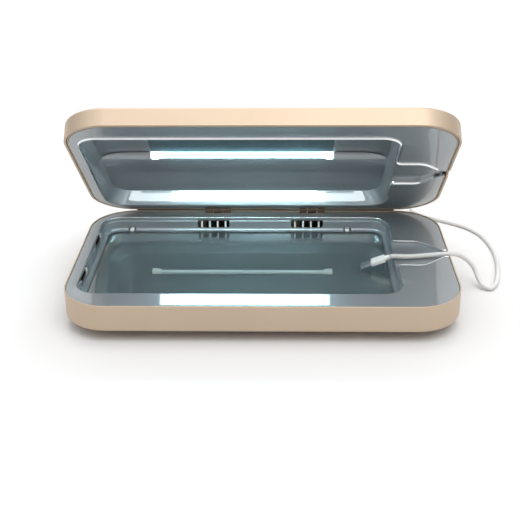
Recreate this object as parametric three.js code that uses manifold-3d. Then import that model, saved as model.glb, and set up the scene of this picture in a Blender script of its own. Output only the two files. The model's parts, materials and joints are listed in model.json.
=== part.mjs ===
// A phone sanitizer box: two pebble-shaped halves joined by a pair of rear hinges, each lined with a
// mirror-like chamber that holds a slim ultraviolet lamp. Millimetres, +Z up, front faces -Y.
// The origin is the middle of the base's flat underside. The lid stands open, as in use.
import * as THREE from "three";
import { mergeVertices } from "three/addons/utils/BufferGeometryUtils.js";
import Module from "manifold-3d";

const wasm = await Module();
wasm.setup();

// Outer form
const boxWidth = 223;
const boxDepth = 132;
const cornerRadius = 26.6;
const crownCorner = 9;
const baseBandHeight = 16;
const lidBandHeight = 11.2;
const crownRun = 30;
const crownSlope = THREE.MathUtils.degToRad(20);
const edgeFillet = 1.6;
const edgeTurn = THREE.MathUtils.degToRad(70);
const wall = 1.5;
const fit = 0.3;
const partingGap = 0.4;
const openAngle = THREE.MathUtils.degToRad(43.2);

// Number of faces on the round forms
const cornerSteps = 7;
const chamberSteps = 5;
const crownSteps = 4;
const filletSteps = 3;
const arcSteps = 3;
const roundSteps = 24;
const smallRoundSteps = 16;
const postSteps = 12;
const leadSides = 8;
const leadSteps = 56;

// How far a cutting shape runs past the face that it opens
const overrun = 2;

// Base liner: the deck and the chamber, whose depths are measured down from the deck
const deckThickness = 1.4;
const deckFall = 0.6;
const deckChamfer = 0.6;
const linerWall = 1.2;
const leftMargin = 6.9;
const rightMargin = 32.5;
const frontMargin = 15.5;
const rearMargin = 12;
const chamberCorner = 12;
const rimStep = 2.3;
const rimLedge = 1;
const chamberDepth = 8.5;
const chamberDraft = 1;
const plateThickness = 1.5;
const plateLedge = 4;
const basinDepth = 13.6;
const basinFloorWidth = 18;
const basinFloorCorner = 4.5;
const basinEndRun = 14;

// Lid liner, whose depths are measured up from its deck
const lidDeckThickness = 2;
const lidLeftMargin = 8.5;
const lidFrontMargin = 16.5;
const lidRearMargin = 8;
const lidEdgeChamfer = 0.6;
const ceilingDepth = 12;
const ceilingEndRun = 21;
const ceilingSideRun = 10.5;
const ceilingShares = [
  { endShare: 0, sideShare: 0, depthShare: 0 },
  { endShare: 0.22, sideShare: 0.1, depthShare: 0.72 },
  { endShare: 0.4, sideShare: 0.25, depthShare: 0.86 },
  { endShare: 0.65, sideShare: 0.55, depthShare: 0.96 },
  { endShare: 1, sideShare: 1, depthShare: 1 },
];

// Lamps, their end caps and the covers over the lid lamp's wires
const lampRadius = 1.7;
const lampEndRoom = 37.4;
const lampCapRadius = 2.6;
const lampCapLength = 5.5;
const lampCapGrip = 3.6;
const baseLampDepth = 13.9;
const lidLampDepth = 11;
const lidLampY = -0.4;
const lampCoverLength = 31;

// Cable funnel from the chamber to the notch in the right wall
const funnelY = 0.4;
const funnelWidth = 32.8;
const funnelMouthRadius = 2;
const funnelShoulder = 16.5;
const funnelNeck = 3.5;
const notchWidth = 8.2;
const lidFunnelDepth = 1.6;
const funnelRidgeInset = 0.6;
const funnelRidgeWidth = 1.2;
const funnelRidgeHeight = 1.4;

// Rear grilles and left air slots, placed as shares of the chamber's length and width
const grilleWidth = 20.6;
const grilleHeight = 4.5;
const grilleCorner = 1.5;
const grilleRibs = 4;
const ribPitch = 5.14;
const ribWidth = 1.2;
const recessDepth = 0.8;
const recessDrop = 0.45;
const recessHeight = 1.75;
const grilleShares = [0.388, 0.719];
const slotLength = 18.5;
const slotHeight = 3;
const slotRibInset = 1.8;
const slotShares = [0.734, 0.271];

// Clips over the plate's long edges
const clipWidth = 2.6;
const clipWindow = 5;
const clipHeight = 1.5;
const clipReach = 2.2;
const clipChamfer = 0.5;
const clipShares = { left: 0.099, right: 0.861 };

// Hinges
const hingeSpread = 31;
const hingeWidth = 15.6;
const knuckleRadius = 2.8;
const lidKnuckleWidth = 6;
const knuckleGap = 0.3;
const pinRadius = 1;
const leafThickness = 1.5;
const bridgeDrop = 0.3;
const bridgeThickness = 1.8;
const baseLeafReach = 13.1;
const lidLeafReach = 7.5;
const leafPocketReach = 8.4;

// Feet and case screws
const footInsetX = 27.5;
const footInsetY = 28;
const footRadius = 6;
const footHeight = 2;
const footChamfer = 0.6;
const footDrop = 1.3;
const footPadRadius = 7.4;
const footPadTop = 4.2;
const screwHeadRadius = 2.8;
const screwHeadHeight = 1.4;
const screwShankRadius = 1.4;
const screwLength = 6.2;
const bossRadius = 3.9;

// Circuit board: a long leg in the right margin and a strip behind the chamber
const boardZ = 8.5;
const boardThickness = 1.6;
const boardLegWidth = 22;
const boardRightInset = 6.5;
const boardFrontInset = 22;
const boardRearInset = 3.4;
const boardStripReach = 25;
const boardPostRadius = 2.4;

// Rear sockets, from the right corner inwards
const usbAInset = 20.5;
const usbAWidth = 14.2;
const usbAHeight = 6.8;
const usbADepth = 12;
const usbAWall = 0.6;
const usbATongueWidth = 10.2;
const usbATongueThickness = 1.5;
const portGap = 3.8;
const usbCWidth = 9;
const usbCHeight = 3.2;
const usbCCorner = 1.5;
const usbCWall = 0.3;
const usbCDepth = 7.4;
const inletSize = 8;
const inletDepth = 8.4;
const inletBore = 2.9;
const inletPinRadius = 1;
const socketBack = 1.5;

// What stands on the board
const transformerWidth = 13;
const transformerLength = 18;
const transformerHeight = 7.2;
const transformerFlange = 2;
const transformerInset = 20;
const sensorWidth = 4;
const sensorThickness = 1.6;
const sensorHeight = 7.6;
const sensorLegHeight = 2.6;
const sensorLegThickness = 0.6;
const sensorReach = 15.4;

// Magnets in the front corners
const magnetRadius = 4;
const magnetThickness = 2;
const magnetInsetX = 18.5;
const magnetInsetY = 9.6;
const magnetSleeve = 1.2;
const magnetCover = 0.8;

// Status light in the lid
const lensRadius = 3.6;
const lensCrownRadius = 2.9;
const lensInset = 36;
const lensFlangeRadius = 5;
const lensFlangeThickness = 0.6;
const lensBoardLength = 14;
const lensBoardWidth = 7;
const lensBoardThickness = 0.8;

// Charging lead and its two plugs
const leadDiameter = 2.8;
const plugGripLength = 19;
const plugGripWidth = 11.6;
const plugGripHeight = 6.6;
const plugGripCorner = 2.2;
const plugReliefLength = 8;
const plugReliefRadius = 2.8;
const plugReliefTip = 1.7;
const plugShellWidth = 12;
const plugShellHeight = 4.5;
const plugShellLength = 10.4;
const plugShellWall = 0.5;
const devicePlugLength = 8.6;
const devicePlugWidth = 6.4;
const devicePlugThickness = 3;
const deviceTipLength = 6.6;
const deviceTipWidth = 5.2;
const deviceTipThickness = 1.5;
const deviceReliefLength = 3.4;
const deviceReliefRadius = 1.5;
const devicePlugTilt = THREE.MathUtils.degToRad(23);
const devicePlugYaw = THREE.MathUtils.degToRad(-6.3);
const devicePlugInset = 10.25;
const devicePlugOffset = -3.03;

// Levels and places that follow from the sizes
const crownRise = (Math.tan(crownSlope) * crownRun) / 2;
const partingZ = baseBandHeight + crownRise;
const lidTopZ = partingZ + lidBandHeight + crownRise;
const baseRimZ = partingZ - partingGap / 2;
const lidRimZ = partingZ + partingGap / 2;
const halfWidth = boxWidth / 2;
const halfDepth = boxDepth / 2;
const rearInner = halfDepth - wall;
const plateTopZ = baseRimZ - chamberDepth;
const plateBottomZ = plateTopZ - plateThickness;
const plateSeatZ = plateBottomZ - fit;
const ledgeZ = baseRimZ - rimStep;
const baseLampZ = baseRimZ - baseLampDepth;
const lidLampZ = lidRimZ + lidLampDepth;
const baseMagnetZ = baseRimZ - deckFall - magnetCover - fit - magnetThickness;
const lidMagnetZ = lidRimZ + magnetCover + fit;
const screwHeadZ = fit + footHeight - footDrop + fit;
const screwTipZ = screwHeadZ + screwHeadHeight + screwLength;
const boardTopZ = boardZ + boardThickness;
const onBoardZ = boardTopZ + fit;
const usbAX = halfWidth - usbAInset;
const usbAZ = onBoardZ + usbAHeight / 2;
const usbCX = usbAX - usbAWidth / 2 - portGap - usbCWidth / 2;
const usbCZ = onBoardZ + usbCHeight / 2;
const inletX = usbCX - usbCWidth / 2 - portGap - inletSize / 2;
const inletZ = onBoardZ + inletSize / 2;
const magnetX = halfWidth - magnetInsetX;
const magnetY = magnetInsetY - halfDepth;
const sensorY = magnetY + sensorReach;
const boardFrontY = boardFrontInset - halfDepth;
const transformerY = boardFrontY + transformerInset;
const lensY = lensInset - halfDepth;

const sides = [
  { name: "left", side: -1 },
  { name: "right", side: 1 },
];
const footPlaces = ["front", "rear"].flatMap((end, k) =>
  sides.map(({ name, side }) => ({
    name: `${end}_${name}`,
    x: side * (halfWidth - footInsetX),
    y: (2 * k - 1) * (halfDepth - footInsetY),
  })),
);

// Materials
const finish = (color, roughness, metalness, extra = {}) =>
  new THREE.MeshStandardMaterial({ color, roughness, metalness, ...extra });
const goldPaint = finish(0xd9c0a0, 0.45, 0.35);
const mirrorLiner = finish(0x7f878c, 0.12, 0.9);
const quartz = finish(0xdfeef0, 0.03, 0, { transparent: true, opacity: 0.3 });
const lampGlass = finish(0xf4ffff, 0.2, 0, { emissive: 0xdffcff });
const lampCeramic = finish(0xf2f4f4, 0.5, 0);
const coverGrey = finish(0x9a9a9e, 0.4, 0.2);
const blackPlastic = finish(0x1c1d1f, 0.5, 0);
const whitePlastic = finish(0xf4f4f2, 0.35, 0);
const steel = finish(0xb8bcc0, 0.3, 1);
const darkSteel = finish(0x4a4038, 0.4, 0.9);
const boardGreen = finish(0x1f5a3c, 0.5, 0);
const magnetMetal = finish(0x8d9196, 0.3, 1);
const footRubber = finish(0x2a2a2b, 0.9, 0);
const lensClear = finish(0xe9f2f2, 0.2, 0);

// A three.js geometry as a solid that can be joined and cut, and back again
function solidOf(geometry) {
  const plain = geometry.index ? geometry.toNonIndexed() : geometry.clone();
  plain.deleteAttribute("normal");
  plain.deleteAttribute("uv");
  const merged = mergeVertices(plain);
  return new wasm.Manifold(
    new wasm.Mesh({
      numProp: 3,
      vertProperties: new Float32Array(merged.attributes.position.array),
      triVerts: new Uint32Array(merged.index.array),
    }),
  );
}

function geometryOf(solid) {
  const { vertProperties, triVerts } = solid.getMesh();
  const geometry = new THREE.BufferGeometry();
  geometry.setAttribute("position", new THREE.Float32BufferAttribute(vertProperties, 3));
  geometry.setIndex(new THREE.BufferAttribute(new Uint32Array(triVerts), 1));
  geometry.computeVertexNormals();
  return geometry;
}

const joined = (first, ...others) => others.reduce((sum, next) => sum.add(next), first);
const cut = (first, ...others) => others.reduce((rest, next) => rest.subtract(next), first);

const block = (width, depth, height, x, y, z) =>
  solidOf(new THREE.BoxGeometry(width, depth, height).translate(x, y, z));

// Round bars along Z and along X, between two places
function post(radius, x, y, fromZ, toZ, steps = smallRoundSteps) {
  const geometry = new THREE.CylinderGeometry(radius, radius, toZ - fromZ, steps);
  return solidOf(geometry.rotateX(Math.PI / 2).translate(x, y, (fromZ + toZ) / 2));
}

function bar(radius, fromX, toX, y, z, steps = smallRoundSteps) {
  const geometry = new THREE.CylinderGeometry(radius, radius, toX - fromX, steps);
  return solidOf(geometry.rotateZ(Math.PI / 2).translate((fromX + toX) / 2, y, z));
}

// A profile of radius and height, turned about an upright axis
function turned(profile, x, y, steps = smallRoundSteps) {
  const points = profile.map(([radius, height]) => new THREE.Vector2(radius, height));
  return solidOf(new THREE.LatheGeometry(points, steps).rotateX(Math.PI / 2).translate(x, y, 0));
}

const extrusion = (shape, depth) =>
  new THREE.ExtrudeGeometry(shape, { depth, bevelEnabled: false, curveSegments: arcSteps });

// An outline in X and Y raised along Z, one in Y and Z run along X, and one in X and Z run along Y
const raised = (shape, fromZ, toZ) => solidOf(extrusion(shape, toZ - fromZ).translate(0, 0, fromZ));
const alongX = (shape, fromX, toX) =>
  solidOf(
    extrusion(shape, toX - fromX)
      .rotateX(Math.PI / 2)
      .rotateZ(Math.PI / 2)
      .translate(fromX, 0, 0),
  );
const alongY = (shape, fromY, toY) =>
  solidOf(
    extrusion(shape, toY - fromY)
      .rotateX(Math.PI / 2)
      .translate(0, toY, 0),
  );

function outline(points) {
  const shape = new THREE.Shape(points.map(([x, y]) => new THREE.Vector2(x, y)));
  shape.closePath();
  return shape;
}

function roundedRect(width, height, radius) {
  const x = width / 2 - radius;
  const y = height / 2 - radius;
  const shape = new THREE.Shape();
  shape.absarc(x, y, radius, 0, Math.PI / 2);
  shape.absarc(-x, y, radius, Math.PI / 2, Math.PI);
  shape.absarc(-x, -y, radius, Math.PI, (Math.PI * 3) / 2);
  shape.absarc(x, -y, radius, (Math.PI * 3) / 2, Math.PI * 2);
  shape.closePath();
  return shape;
}

// A ring is a rounded rectangle seen from above
const inset = (ring, by, radius = ring.radius - by) => ({
  left: ring.left + by,
  right: ring.right - by,
  front: ring.front + by,
  back: ring.back - by,
  radius,
});

function ringPoints({ left, right, front, back, radius }, steps) {
  const centres = [
    [right - radius, back - radius],
    [left + radius, back - radius],
    [left + radius, front + radius],
    [right - radius, front + radius],
  ];
  return centres.flatMap(([x, y], quarter) =>
    Array.from({ length: steps + 1 }, (_, k) => {
      const angle = (Math.PI / 2) * (quarter + k / steps);
      return [x + radius * Math.cos(angle), y + radius * Math.sin(angle)];
    }),
  );
}

// A closed body through rings, each at its own height, from the lowest to the highest
function loft(levels, steps = cornerSteps) {
  const count = (steps + 1) * 4;
  const positions = levels.flatMap(({ ring, z }) =>
    ringPoints(ring, steps).flatMap(([x, y]) => [x, y, z]),
  );
  const top = (levels.length - 1) * count;
  const index = [];
  for (let start = 0; start < top; start += count) {
    for (let k = 0; k < count; k++) {
      const a = start + k;
      const b = start + ((k + 1) % count);
      index.push(a, b, b + count, a, b + count, a + count);
    }
  }
  for (let k = 1; k < count - 1; k++) {
    index.push(0, k + 1, k);
    index.push(top, top + k, top + k + 1);
  }
  const geometry = new THREE.BufferGeometry();
  geometry.setAttribute("position", new THREE.Float32BufferAttribute(positions, 3));
  return solidOf(geometry.setIndex(index));
}

// One half of the pebble, with its crown's flat at height zero: a crown that falls away to a filleted
// edge, then an upright band up to the rim
const outerRing = {
  left: -halfWidth,
  right: halfWidth,
  front: -halfDepth,
  back: halfDepth,
  radius: cornerRadius,
};
const crownEdgeInset = edgeFillet * (1 - Math.cos(edgeTurn));

function halfLevels(rimHeight, thickness) {
  const level = (by, height) => ({
    ring: inset(outerRing, by + thickness, Math.max(cornerRadius - by - thickness, crownCorner)),
    z: height + thickness,
  });
  const levels = [];
  for (let k = 0; k <= crownSteps; k++) {
    const share = 1 - k / crownSteps;
    levels.push(level(crownEdgeInset + crownRun * share, crownRise * (1 - share) ** 2));
  }
  for (let k = 1; k <= filletSteps; k++) {
    const angle = edgeTurn * (1 - k / filletSteps);
    const rise = edgeFillet * (Math.sin(edgeTurn) - Math.sin(angle));
    levels.push(level(edgeFillet * (1 - Math.cos(angle)), crownRise + rise));
  }
  levels.push({ ring: inset(outerRing, thickness), z: rimHeight });
  return levels;
}

const halfOuter = (rimHeight) => loft(halfLevels(rimHeight, 0));
const halfHollow = (rimHeight) => loft(halfLevels(rimHeight + overrun, wall));

// Room about the hinge axis, so that shells and liners clear the knuckles at every angle
const hingeRoom = () =>
  joined(
    ...sides.map(({ side }) => {
      const x = side * hingeSpread;
      const reach = hingeWidth / 2 + knuckleGap * 2;
      return bar(knuckleRadius + fit * 2, x - reach, x + reach, halfDepth, partingZ);
    }),
  );

// Room in a liner's rear edge for the hinge leaves, below the axis in the base and above it in the lid
const leafPockets = (up) =>
  sides.map(({ side }) =>
    block(
      hingeWidth + knuckleGap * 4,
      leafThickness + fit * 2 + wall,
      leafPocketReach,
      side * hingeSpread,
      halfDepth - leafThickness / 2 - fit - wall / 2,
      partingZ + (up * leafPocketReach) / 2,
    ),
  );

// The notch in a shell's right wall, open at the rim
const rimNotch = (fromZ, toZ) =>
  block(wall + overrun * 2, notchWidth, toZ - fromZ, halfWidth - wall / 2, funnelY, (fromZ + toZ) / 2);

// Base shell, with pads over the feet, posts under the board and openings for the sockets
function baseShell() {
  const outer = halfOuter(baseRimZ);
  const pads = footPlaces.map(({ x, y }) => post(footPadRadius, x, y, wall / 2, footPadTop));
  const posts = boardPostPlaces().map(([x, y]) =>
    post(boardPostRadius, x, y, wall / 2, boardZ - fit, postSteps),
  );
  const body = joined(cut(outer, halfHollow(baseRimZ)), joined(...pads, ...posts).intersect(outer));
  const screwRooms = footPlaces.flatMap(({ x, y }) => [
    post(footRadius + fit, x, y, -overrun, screwHeadZ - fit),
    post(screwHeadRadius + fit, x, y, 0, screwHeadZ + screwHeadHeight + fit),
    post(screwShankRadius + fit, x, y, 0, footPadTop + overrun, postSteps),
  ]);
  return cut(body, ...screwRooms, hingeRoom(), rimNotch(ledgeZ, baseRimZ + overrun), ...portOpenings());
}

function boardPostPlaces() {
  const legX = halfWidth - boardRightInset - boardPostRadius * 2;
  const legY = halfDepth - footInsetY - footPadRadius;
  const stripY = (chamberRing.back + halfDepth - boardRearInset) / 2;
  return [
    [legX, -legY],
    [legX, 0],
    [legX, legY],
    [(usbAX + usbCX) / 2, stripY],
    [(inletX + usbCX) / 2, stripY],
  ];
}

// Openings in the rear wall, which curves forward at the right-hand socket
function portOpenings() {
  const fromY = usbAMouth() - overrun;
  const toY = halfDepth + overrun;
  const usbA = roundedRect(plugShellWidth + fit * 2, plugShellHeight + fit * 2, fit * 2);
  const usbC = roundedRect(usbCWidth, usbCHeight, usbCCorner);
  const inlet = new THREE.CylinderGeometry(inletBore, inletBore, toY - fromY, smallRoundSteps);
  return [
    alongY(usbA, fromY, toY).translate([usbAX, 0, usbAZ]),
    alongY(usbC, fromY, toY).translate([usbCX, 0, usbCZ]),
    solidOf(inlet.translate(inletX, (fromY + toY) / 2, inletZ)),
  ];
}

// Base liner: the deck falls from the chamber to its outer edge, the chamber steps down to a ledge and
// then to the plate, and a basin under the plate holds the lamp in a trough
const chamberRing = {
  left: leftMargin - halfWidth,
  right: halfWidth - rightMargin,
  front: frontMargin - halfDepth,
  back: halfDepth - rearMargin,
  radius: chamberCorner,
};
const chamberLength = chamberRing.right - chamberRing.left;
const chamberWidth = chamberRing.back - chamberRing.front;
const ledgeRing = inset(chamberRing, rimLedge);
const plateRing = inset(ledgeRing, chamberDraft);
const basinRing = inset(plateRing, plateLedge);
const basinFloorRing = {
  left: basinRing.left + basinEndRun,
  right: basinRing.right - basinEndRun,
  front: funnelY - basinFloorWidth / 2,
  back: funnelY + basinFloorWidth / 2,
  radius: basinFloorCorner,
};
const linerEdge = inset(outerRing, wall + fit);
const lampX = (chamberRing.left + chamberRing.right) / 2;
const lampLength = chamberLength - lampEndRoom * 2;

// The lamp's length of room, grown at each end
const lampRoom = (radius, grow, y, z) =>
  bar(radius, lampX - lampLength / 2 - grow, lampX + lampLength / 2 + grow, y, z, roundSteps);

// The funnel's outline: level sides from the chamber, rounded shoulders, then straight in to the notch
function funnelOutline(startX, grow, endX) {
  const half = funnelWidth / 2 + grow;
  const neck = notchWidth / 2 + grow;
  const shoulderX = halfWidth - funnelShoulder;
  const neckX = halfWidth - funnelNeck;
  const bend = (neckX - shoulderX) / 3;
  const shape = new THREE.Shape();
  shape.moveTo(startX, -half);
  shape.lineTo(shoulderX - bend, -half);
  shape.quadraticCurveTo(shoulderX, -half, shoulderX + bend, bend - half);
  shape.lineTo(neckX, -neck);
  shape.lineTo(endX, -neck);
  shape.lineTo(endX, neck);
  shape.lineTo(neckX, neck);
  shape.lineTo(shoulderX + bend, half - bend);
  shape.quadraticCurveTo(shoulderX, half, shoulderX - bend, half);
  shape.lineTo(startX, half);
  shape.closePath();
  return shape;
}

const funnel = (startX, grow, endX, fromZ, toZ) =>
  raised(funnelOutline(startX, grow, endX), fromZ, toZ).translate([0, funnelY, 0]);

// Cuts that round the corners where the funnel leaves the chamber
function funnelMouth(fromZ, toZ) {
  const half = funnelWidth / 2;
  const x = chamberRing.right;
  const r = funnelMouthRadius;
  const shape = new THREE.Shape();
  shape.moveTo(x - overrun, half - overrun);
  shape.lineTo(x + r, half - overrun);
  shape.lineTo(x + r, half);
  shape.absarc(x + r, half + r, r, -Math.PI / 2, -Math.PI, true);
  shape.lineTo(x - overrun, half + r);
  shape.closePath();
  const corner = raised(shape, fromZ, toZ);
  return [corner, corner.mirror([0, 1, 0])].map((piece) => piece.translate([0, funnelY, 0]));
}

function baseLiner() {
  const deckEdgeZ = baseRimZ - deckFall;
  const underDeckZ = deckEdgeZ - deckThickness;
  const underLedgeZ = ledgeZ - linerWall;
  const basinFloorZ = baseRimZ - basinDepth;
  const deck = loft([
    { ring: linerEdge, z: underDeckZ },
    { ring: linerEdge, z: deckEdgeZ - deckChamfer },
    { ring: inset(linerEdge, deckChamfer), z: deckEdgeZ },
    { ring: chamberRing, z: baseRimZ },
  ]);
  const grown = (ring) => inset(ring, -linerWall);
  const body = loft(
    [
      { ring: grown(basinFloorRing), z: basinFloorZ - linerWall },
      { ring: grown(basinRing), z: plateSeatZ - linerWall },
      { ring: grown(plateRing), z: plateSeatZ - linerWall },
      { ring: grown(ledgeRing), z: underLedgeZ },
      { ring: grown(chamberRing), z: underLedgeZ },
      { ring: grown(chamberRing), z: deckEdgeZ },
    ],
    chamberSteps,
  );
  const hollow = loft(
    [
      { ring: basinFloorRing, z: basinFloorZ },
      { ring: basinRing, z: plateSeatZ },
      { ring: plateRing, z: plateSeatZ },
      { ring: plateRing, z: plateTopZ },
      { ring: ledgeRing, z: ledgeZ },
      { ring: chamberRing, z: ledgeZ },
      { ring: chamberRing, z: baseRimZ + overrun },
    ],
    chamberSteps,
  );
  const inChamberX = chamberRing.right - chamberCorner / 2;
  const funnelBody = funnel(inChamberX, linerWall, linerEdge.right, underLedgeZ, deckEdgeZ - deckChamfer);
  const funnelHollow = funnel(inChamberX, 0, halfWidth + overrun, ledgeZ, baseRimZ + overrun);
  const trough = lampRoom(lampCapRadius + fit + linerWall, fit + linerWall, funnelY, baseLampZ);
  const troughHollow = lampRoom(lampCapRadius + fit, fit, funnelY, baseLampZ);
  const magnetRoom = magnetRadius + fit;
  const sleeves = sides.map(({ side }) =>
    post(magnetRoom + magnetSleeve, side * magnetX, magnetY, baseMagnetZ, underDeckZ + deckThickness / 2),
  );
  const magnetRooms = sides.map(({ side }) =>
    post(magnetRoom, side * magnetX, magnetY, baseMagnetZ - overrun, deckEdgeZ - magnetCover),
  );
  const bosses = footPlaces.map(({ x, y }) =>
    post(bossRadius, x, y, footPadTop + fit, x > chamberRing.right ? underDeckZ : plateSeatZ - linerWall),
  );
  const screwHoles = footPlaces.map(({ x, y }) =>
    post(screwShankRadius + fit, x, y, footPadTop, screwTipZ + fit, postSteps),
  );
  return cut(
    joined(deck, body, funnelBody, trough, ...sleeves, ...bosses),
    hollow,
    troughHollow,
    funnelHollow,
    ...funnelMouth(ledgeZ, baseRimZ + overrun),
    ...screwHoles,
    ...magnetRooms,
    ...leafPockets(-1),
    ...grilleCuts(),
    ...slotCuts(),
    ...clipWindows(),
    hingeRoom(),
  );
}

// Each rear grille opens the wall up to the ledge. Ribs part it into windows, and a shallow recess in the
// step runs along their tops
function grilleCuts() {
  const fromY = ledgeRing.back - chamberDraft * 2;
  const toY = ledgeRing.back + linerWall + overrun;
  const middleY = (fromY + toY) / 2;
  const depth = toY - fromY;
  const rounded = alongY(roundedRect(grilleWidth, grilleHeight * 2, grilleCorner), fromY, toY);
  const lower = block(grilleWidth, depth, grilleHeight, 0, middleY, -grilleHeight / 2);
  const ribs = Array.from({ length: grilleRibs }, (_, k) => {
    const x = ribPitch * (k - (grilleRibs - 1) / 2);
    return block(ribWidth, depth + overrun, grilleHeight * 3, x, middleY, 0);
  });
  const recessY = chamberRing.back + recessDepth;
  const recessZ = recessHeight / 2 - recessDrop;
  const recess = block(grilleWidth, recessY - fromY, recessHeight, 0, (recessY + fromY) / 2, recessZ);
  const opening = joined(cut(rounded.intersect(lower), ...ribs), recess);
  return grilleShares.map((share) =>
    opening.translate([chamberRing.left + chamberLength * share, 0, ledgeZ]),
  );
}

// Two slots in the left wall, open at the ledge, each parted by one rib near its rear end
function slotCuts() {
  const depth = linerWall + overrun + chamberDraft;
  const x = ledgeRing.left + chamberDraft - depth / 2;
  const z = ledgeZ - slotHeight / 2;
  const rearLength = slotRibInset - ribWidth / 2;
  const frontLength = slotLength - slotRibInset - ribWidth / 2;
  return slotShares.flatMap((share) => {
    const rearY = chamberRing.front + chamberWidth * share + slotLength / 2;
    return [
      block(depth, rearLength, slotHeight, x, rearY - rearLength / 2, z),
      block(depth, frontLength, slotHeight, x, rearY - slotLength + frontLength / 2, z),
    ];
  });
}

const clipPlaces = () =>
  sides.flatMap(({ name }) => {
    const x = chamberRing.left + chamberLength * clipShares[name];
    return [
      { name: `rear_${name}`, x, y: plateRing.back, turn: 0 },
      { name: `front_${name}`, x, y: plateRing.front, turn: 180 },
    ];
  });

const clipWindows = () =>
  clipPlaces().map(({ x, y }) => {
    const height = clipHeight + fit * 2;
    const depth = (linerWall + chamberDraft + overrun) * 2;
    return block(clipWindow, depth, height, x, y, plateTopZ + height / 2);
  });

// A clip hooks behind the liner's wall and reaches through its window over the plate's edge
function plateClip({ x, y, turn }) {
  const hookY = linerWall + chamberDraft + fit;
  const low = plateTopZ + fit;
  const high = low + clipHeight;
  const profile = outline([
    [-clipReach, low],
    [hookY + linerWall, low],
    [hookY + linerWall, high + clipHeight],
    [hookY, high + clipHeight],
    [hookY, high],
    [clipChamfer - clipReach, high],
    [-clipReach, high - clipChamfer],
  ]);
  return alongX(profile, -clipWidth / 2, clipWidth / 2).rotate([0, 0, turn]).translate([x, y, 0]);
}

const quartzPlate = () =>
  loft(
    [
      { ring: inset(plateRing, fit), z: plateBottomZ },
      { ring: inset(plateRing, fit), z: plateTopZ },
    ],
    chamberSteps,
  );

// Lamps: a glass tube whose ends sit in bored caps
function lampTube(y, z) {
  const half = lampLength / 2 - lampCapLength + lampCapGrip;
  return bar(lampRadius, lampX - half, lampX + half, y, z);
}

function lampCap(side, y, z) {
  const bore = lampRadius + fit;
  const boreEnd = lampCapLength - lampCapGrip - fit;
  const cap = turned(
    [
      [0, 0],
      [lampCapRadius - fit, 0],
      [lampCapRadius, fit],
      [lampCapRadius, lampCapLength - fit],
      [lampCapRadius - fit, lampCapLength],
      [bore, lampCapLength],
      [bore, boreEnd],
      [0, boreEnd],
    ],
    0,
    0,
  );
  return cap.rotate([0, -side * 90, 0]).translate([lampX + (side * lampLength) / 2, y, z]);
}

// Lid shell: the same half, turned over
function lidShell() {
  const rimHeight = lidTopZ - lidRimZ;
  const half = cut(halfOuter(rimHeight), halfHollow(rimHeight));
  const shell = half.rotate([180, 0, 0]).translate([0, 0, lidTopZ]);
  const notch = rimNotch(lidRimZ - overrun, lidRimZ + lidFunnelDepth);
  return cut(shell, hingeRoom(), notch, post(lensRadius + fit, 0, lensY, lidRimZ, lidTopZ + overrun));
}

// Lid liner: the ceiling rises steeply from the chamber's edge and rolls over into a flat, with a
// groove for the lamp, and low ridges follow the funnel
const lidRing = {
  ...chamberRing,
  left: lidLeftMargin - halfWidth,
  front: lidFrontMargin - halfDepth,
  back: halfDepth - lidRearMargin,
};

function ceilingLevels(grow) {
  const start = inset(lidRing, lidEdgeChamfer - grow);
  const depth = ceilingDepth - lidEdgeChamfer;
  return ceilingShares.map(({ endShare, sideShare, depthShare }) => ({
    ring: {
      left: start.left + ceilingEndRun * endShare,
      right: start.right - ceilingEndRun * endShare,
      front: start.front + ceilingSideRun * sideShare,
      back: start.back - ceilingSideRun * sideShare,
      radius: start.radius,
    },
    z: lidRimZ + lidEdgeChamfer + depth * depthShare,
  }));
}

function lidLiner() {
  const deckTopZ = lidRimZ + lidDeckThickness;
  const deck = loft([
    { ring: inset(linerEdge, deckChamfer), z: lidRimZ },
    { ring: linerEdge, z: lidRimZ + deckChamfer },
    { ring: linerEdge, z: deckTopZ },
  ]);
  const half = linerWall / 2;
  const body = loft(ceilingLevels(linerWall), chamberSteps).translate([0, 0, half]);
  const hollow = loft(
    [{ ring: lidRing, z: lidRimZ - overrun }, { ring: lidRing, z: lidRimZ }, ...ceilingLevels(0)],
    chamberSteps,
  );
  const trough = lampRoom(lampCapRadius + fit + half, fit + half, lidLampY, lidLampZ);
  const underLamp = block(boxWidth, boxDepth, lidLampDepth, 0, 0, lidLampZ - lidLampDepth / 2);
  const troughHollow = lampRoom(lampCapRadius + fit, fit, lidLampY, lidLampZ);
  const startX = chamberRing.right - linerWall;
  const ridgeEndX = halfWidth - funnelNeck - fit;
  const recessGrow = -funnelRidgeInset - funnelRidgeWidth;
  const insideDeckZ = lidRimZ + half;
  const recessZ = lidRimZ + lidFunnelDepth;
  const ridgeZ = lidRimZ - funnelRidgeHeight;
  const funnelBody = funnel(startX, 0, linerEdge.right, insideDeckZ, recessZ + linerWall);
  const funnelHollow = funnel(startX - linerWall, recessGrow, halfWidth, lidRimZ - overrun, recessZ);
  const ridges = cut(
    funnel(chamberRing.right + fit, -funnelRidgeInset, ridgeEndX, ridgeZ, insideDeckZ),
    funnel(startX, recessGrow, halfWidth, ridgeZ - overrun, deckTopZ),
  );
  const magnetRoom = magnetRadius + fit;
  const magnetTopZ = lidMagnetZ + magnetThickness;
  const sleeves = sides.map(({ side }) =>
    post(magnetRoom + magnetSleeve, side * magnetX, magnetY, insideDeckZ, magnetTopZ),
  );
  const magnetRooms = sides.map(({ side }) =>
    post(magnetRoom, side * magnetX, magnetY, lidRimZ + magnetCover, magnetTopZ + overrun),
  );
  return cut(
    joined(deck, body, cut(trough, underLamp), funnelBody, ridges, ...sleeves),
    hollow,
    troughHollow,
    funnelHollow,
    ...magnetRooms,
    ...leafPockets(1),
    hingeRoom(),
  );
}

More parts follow.
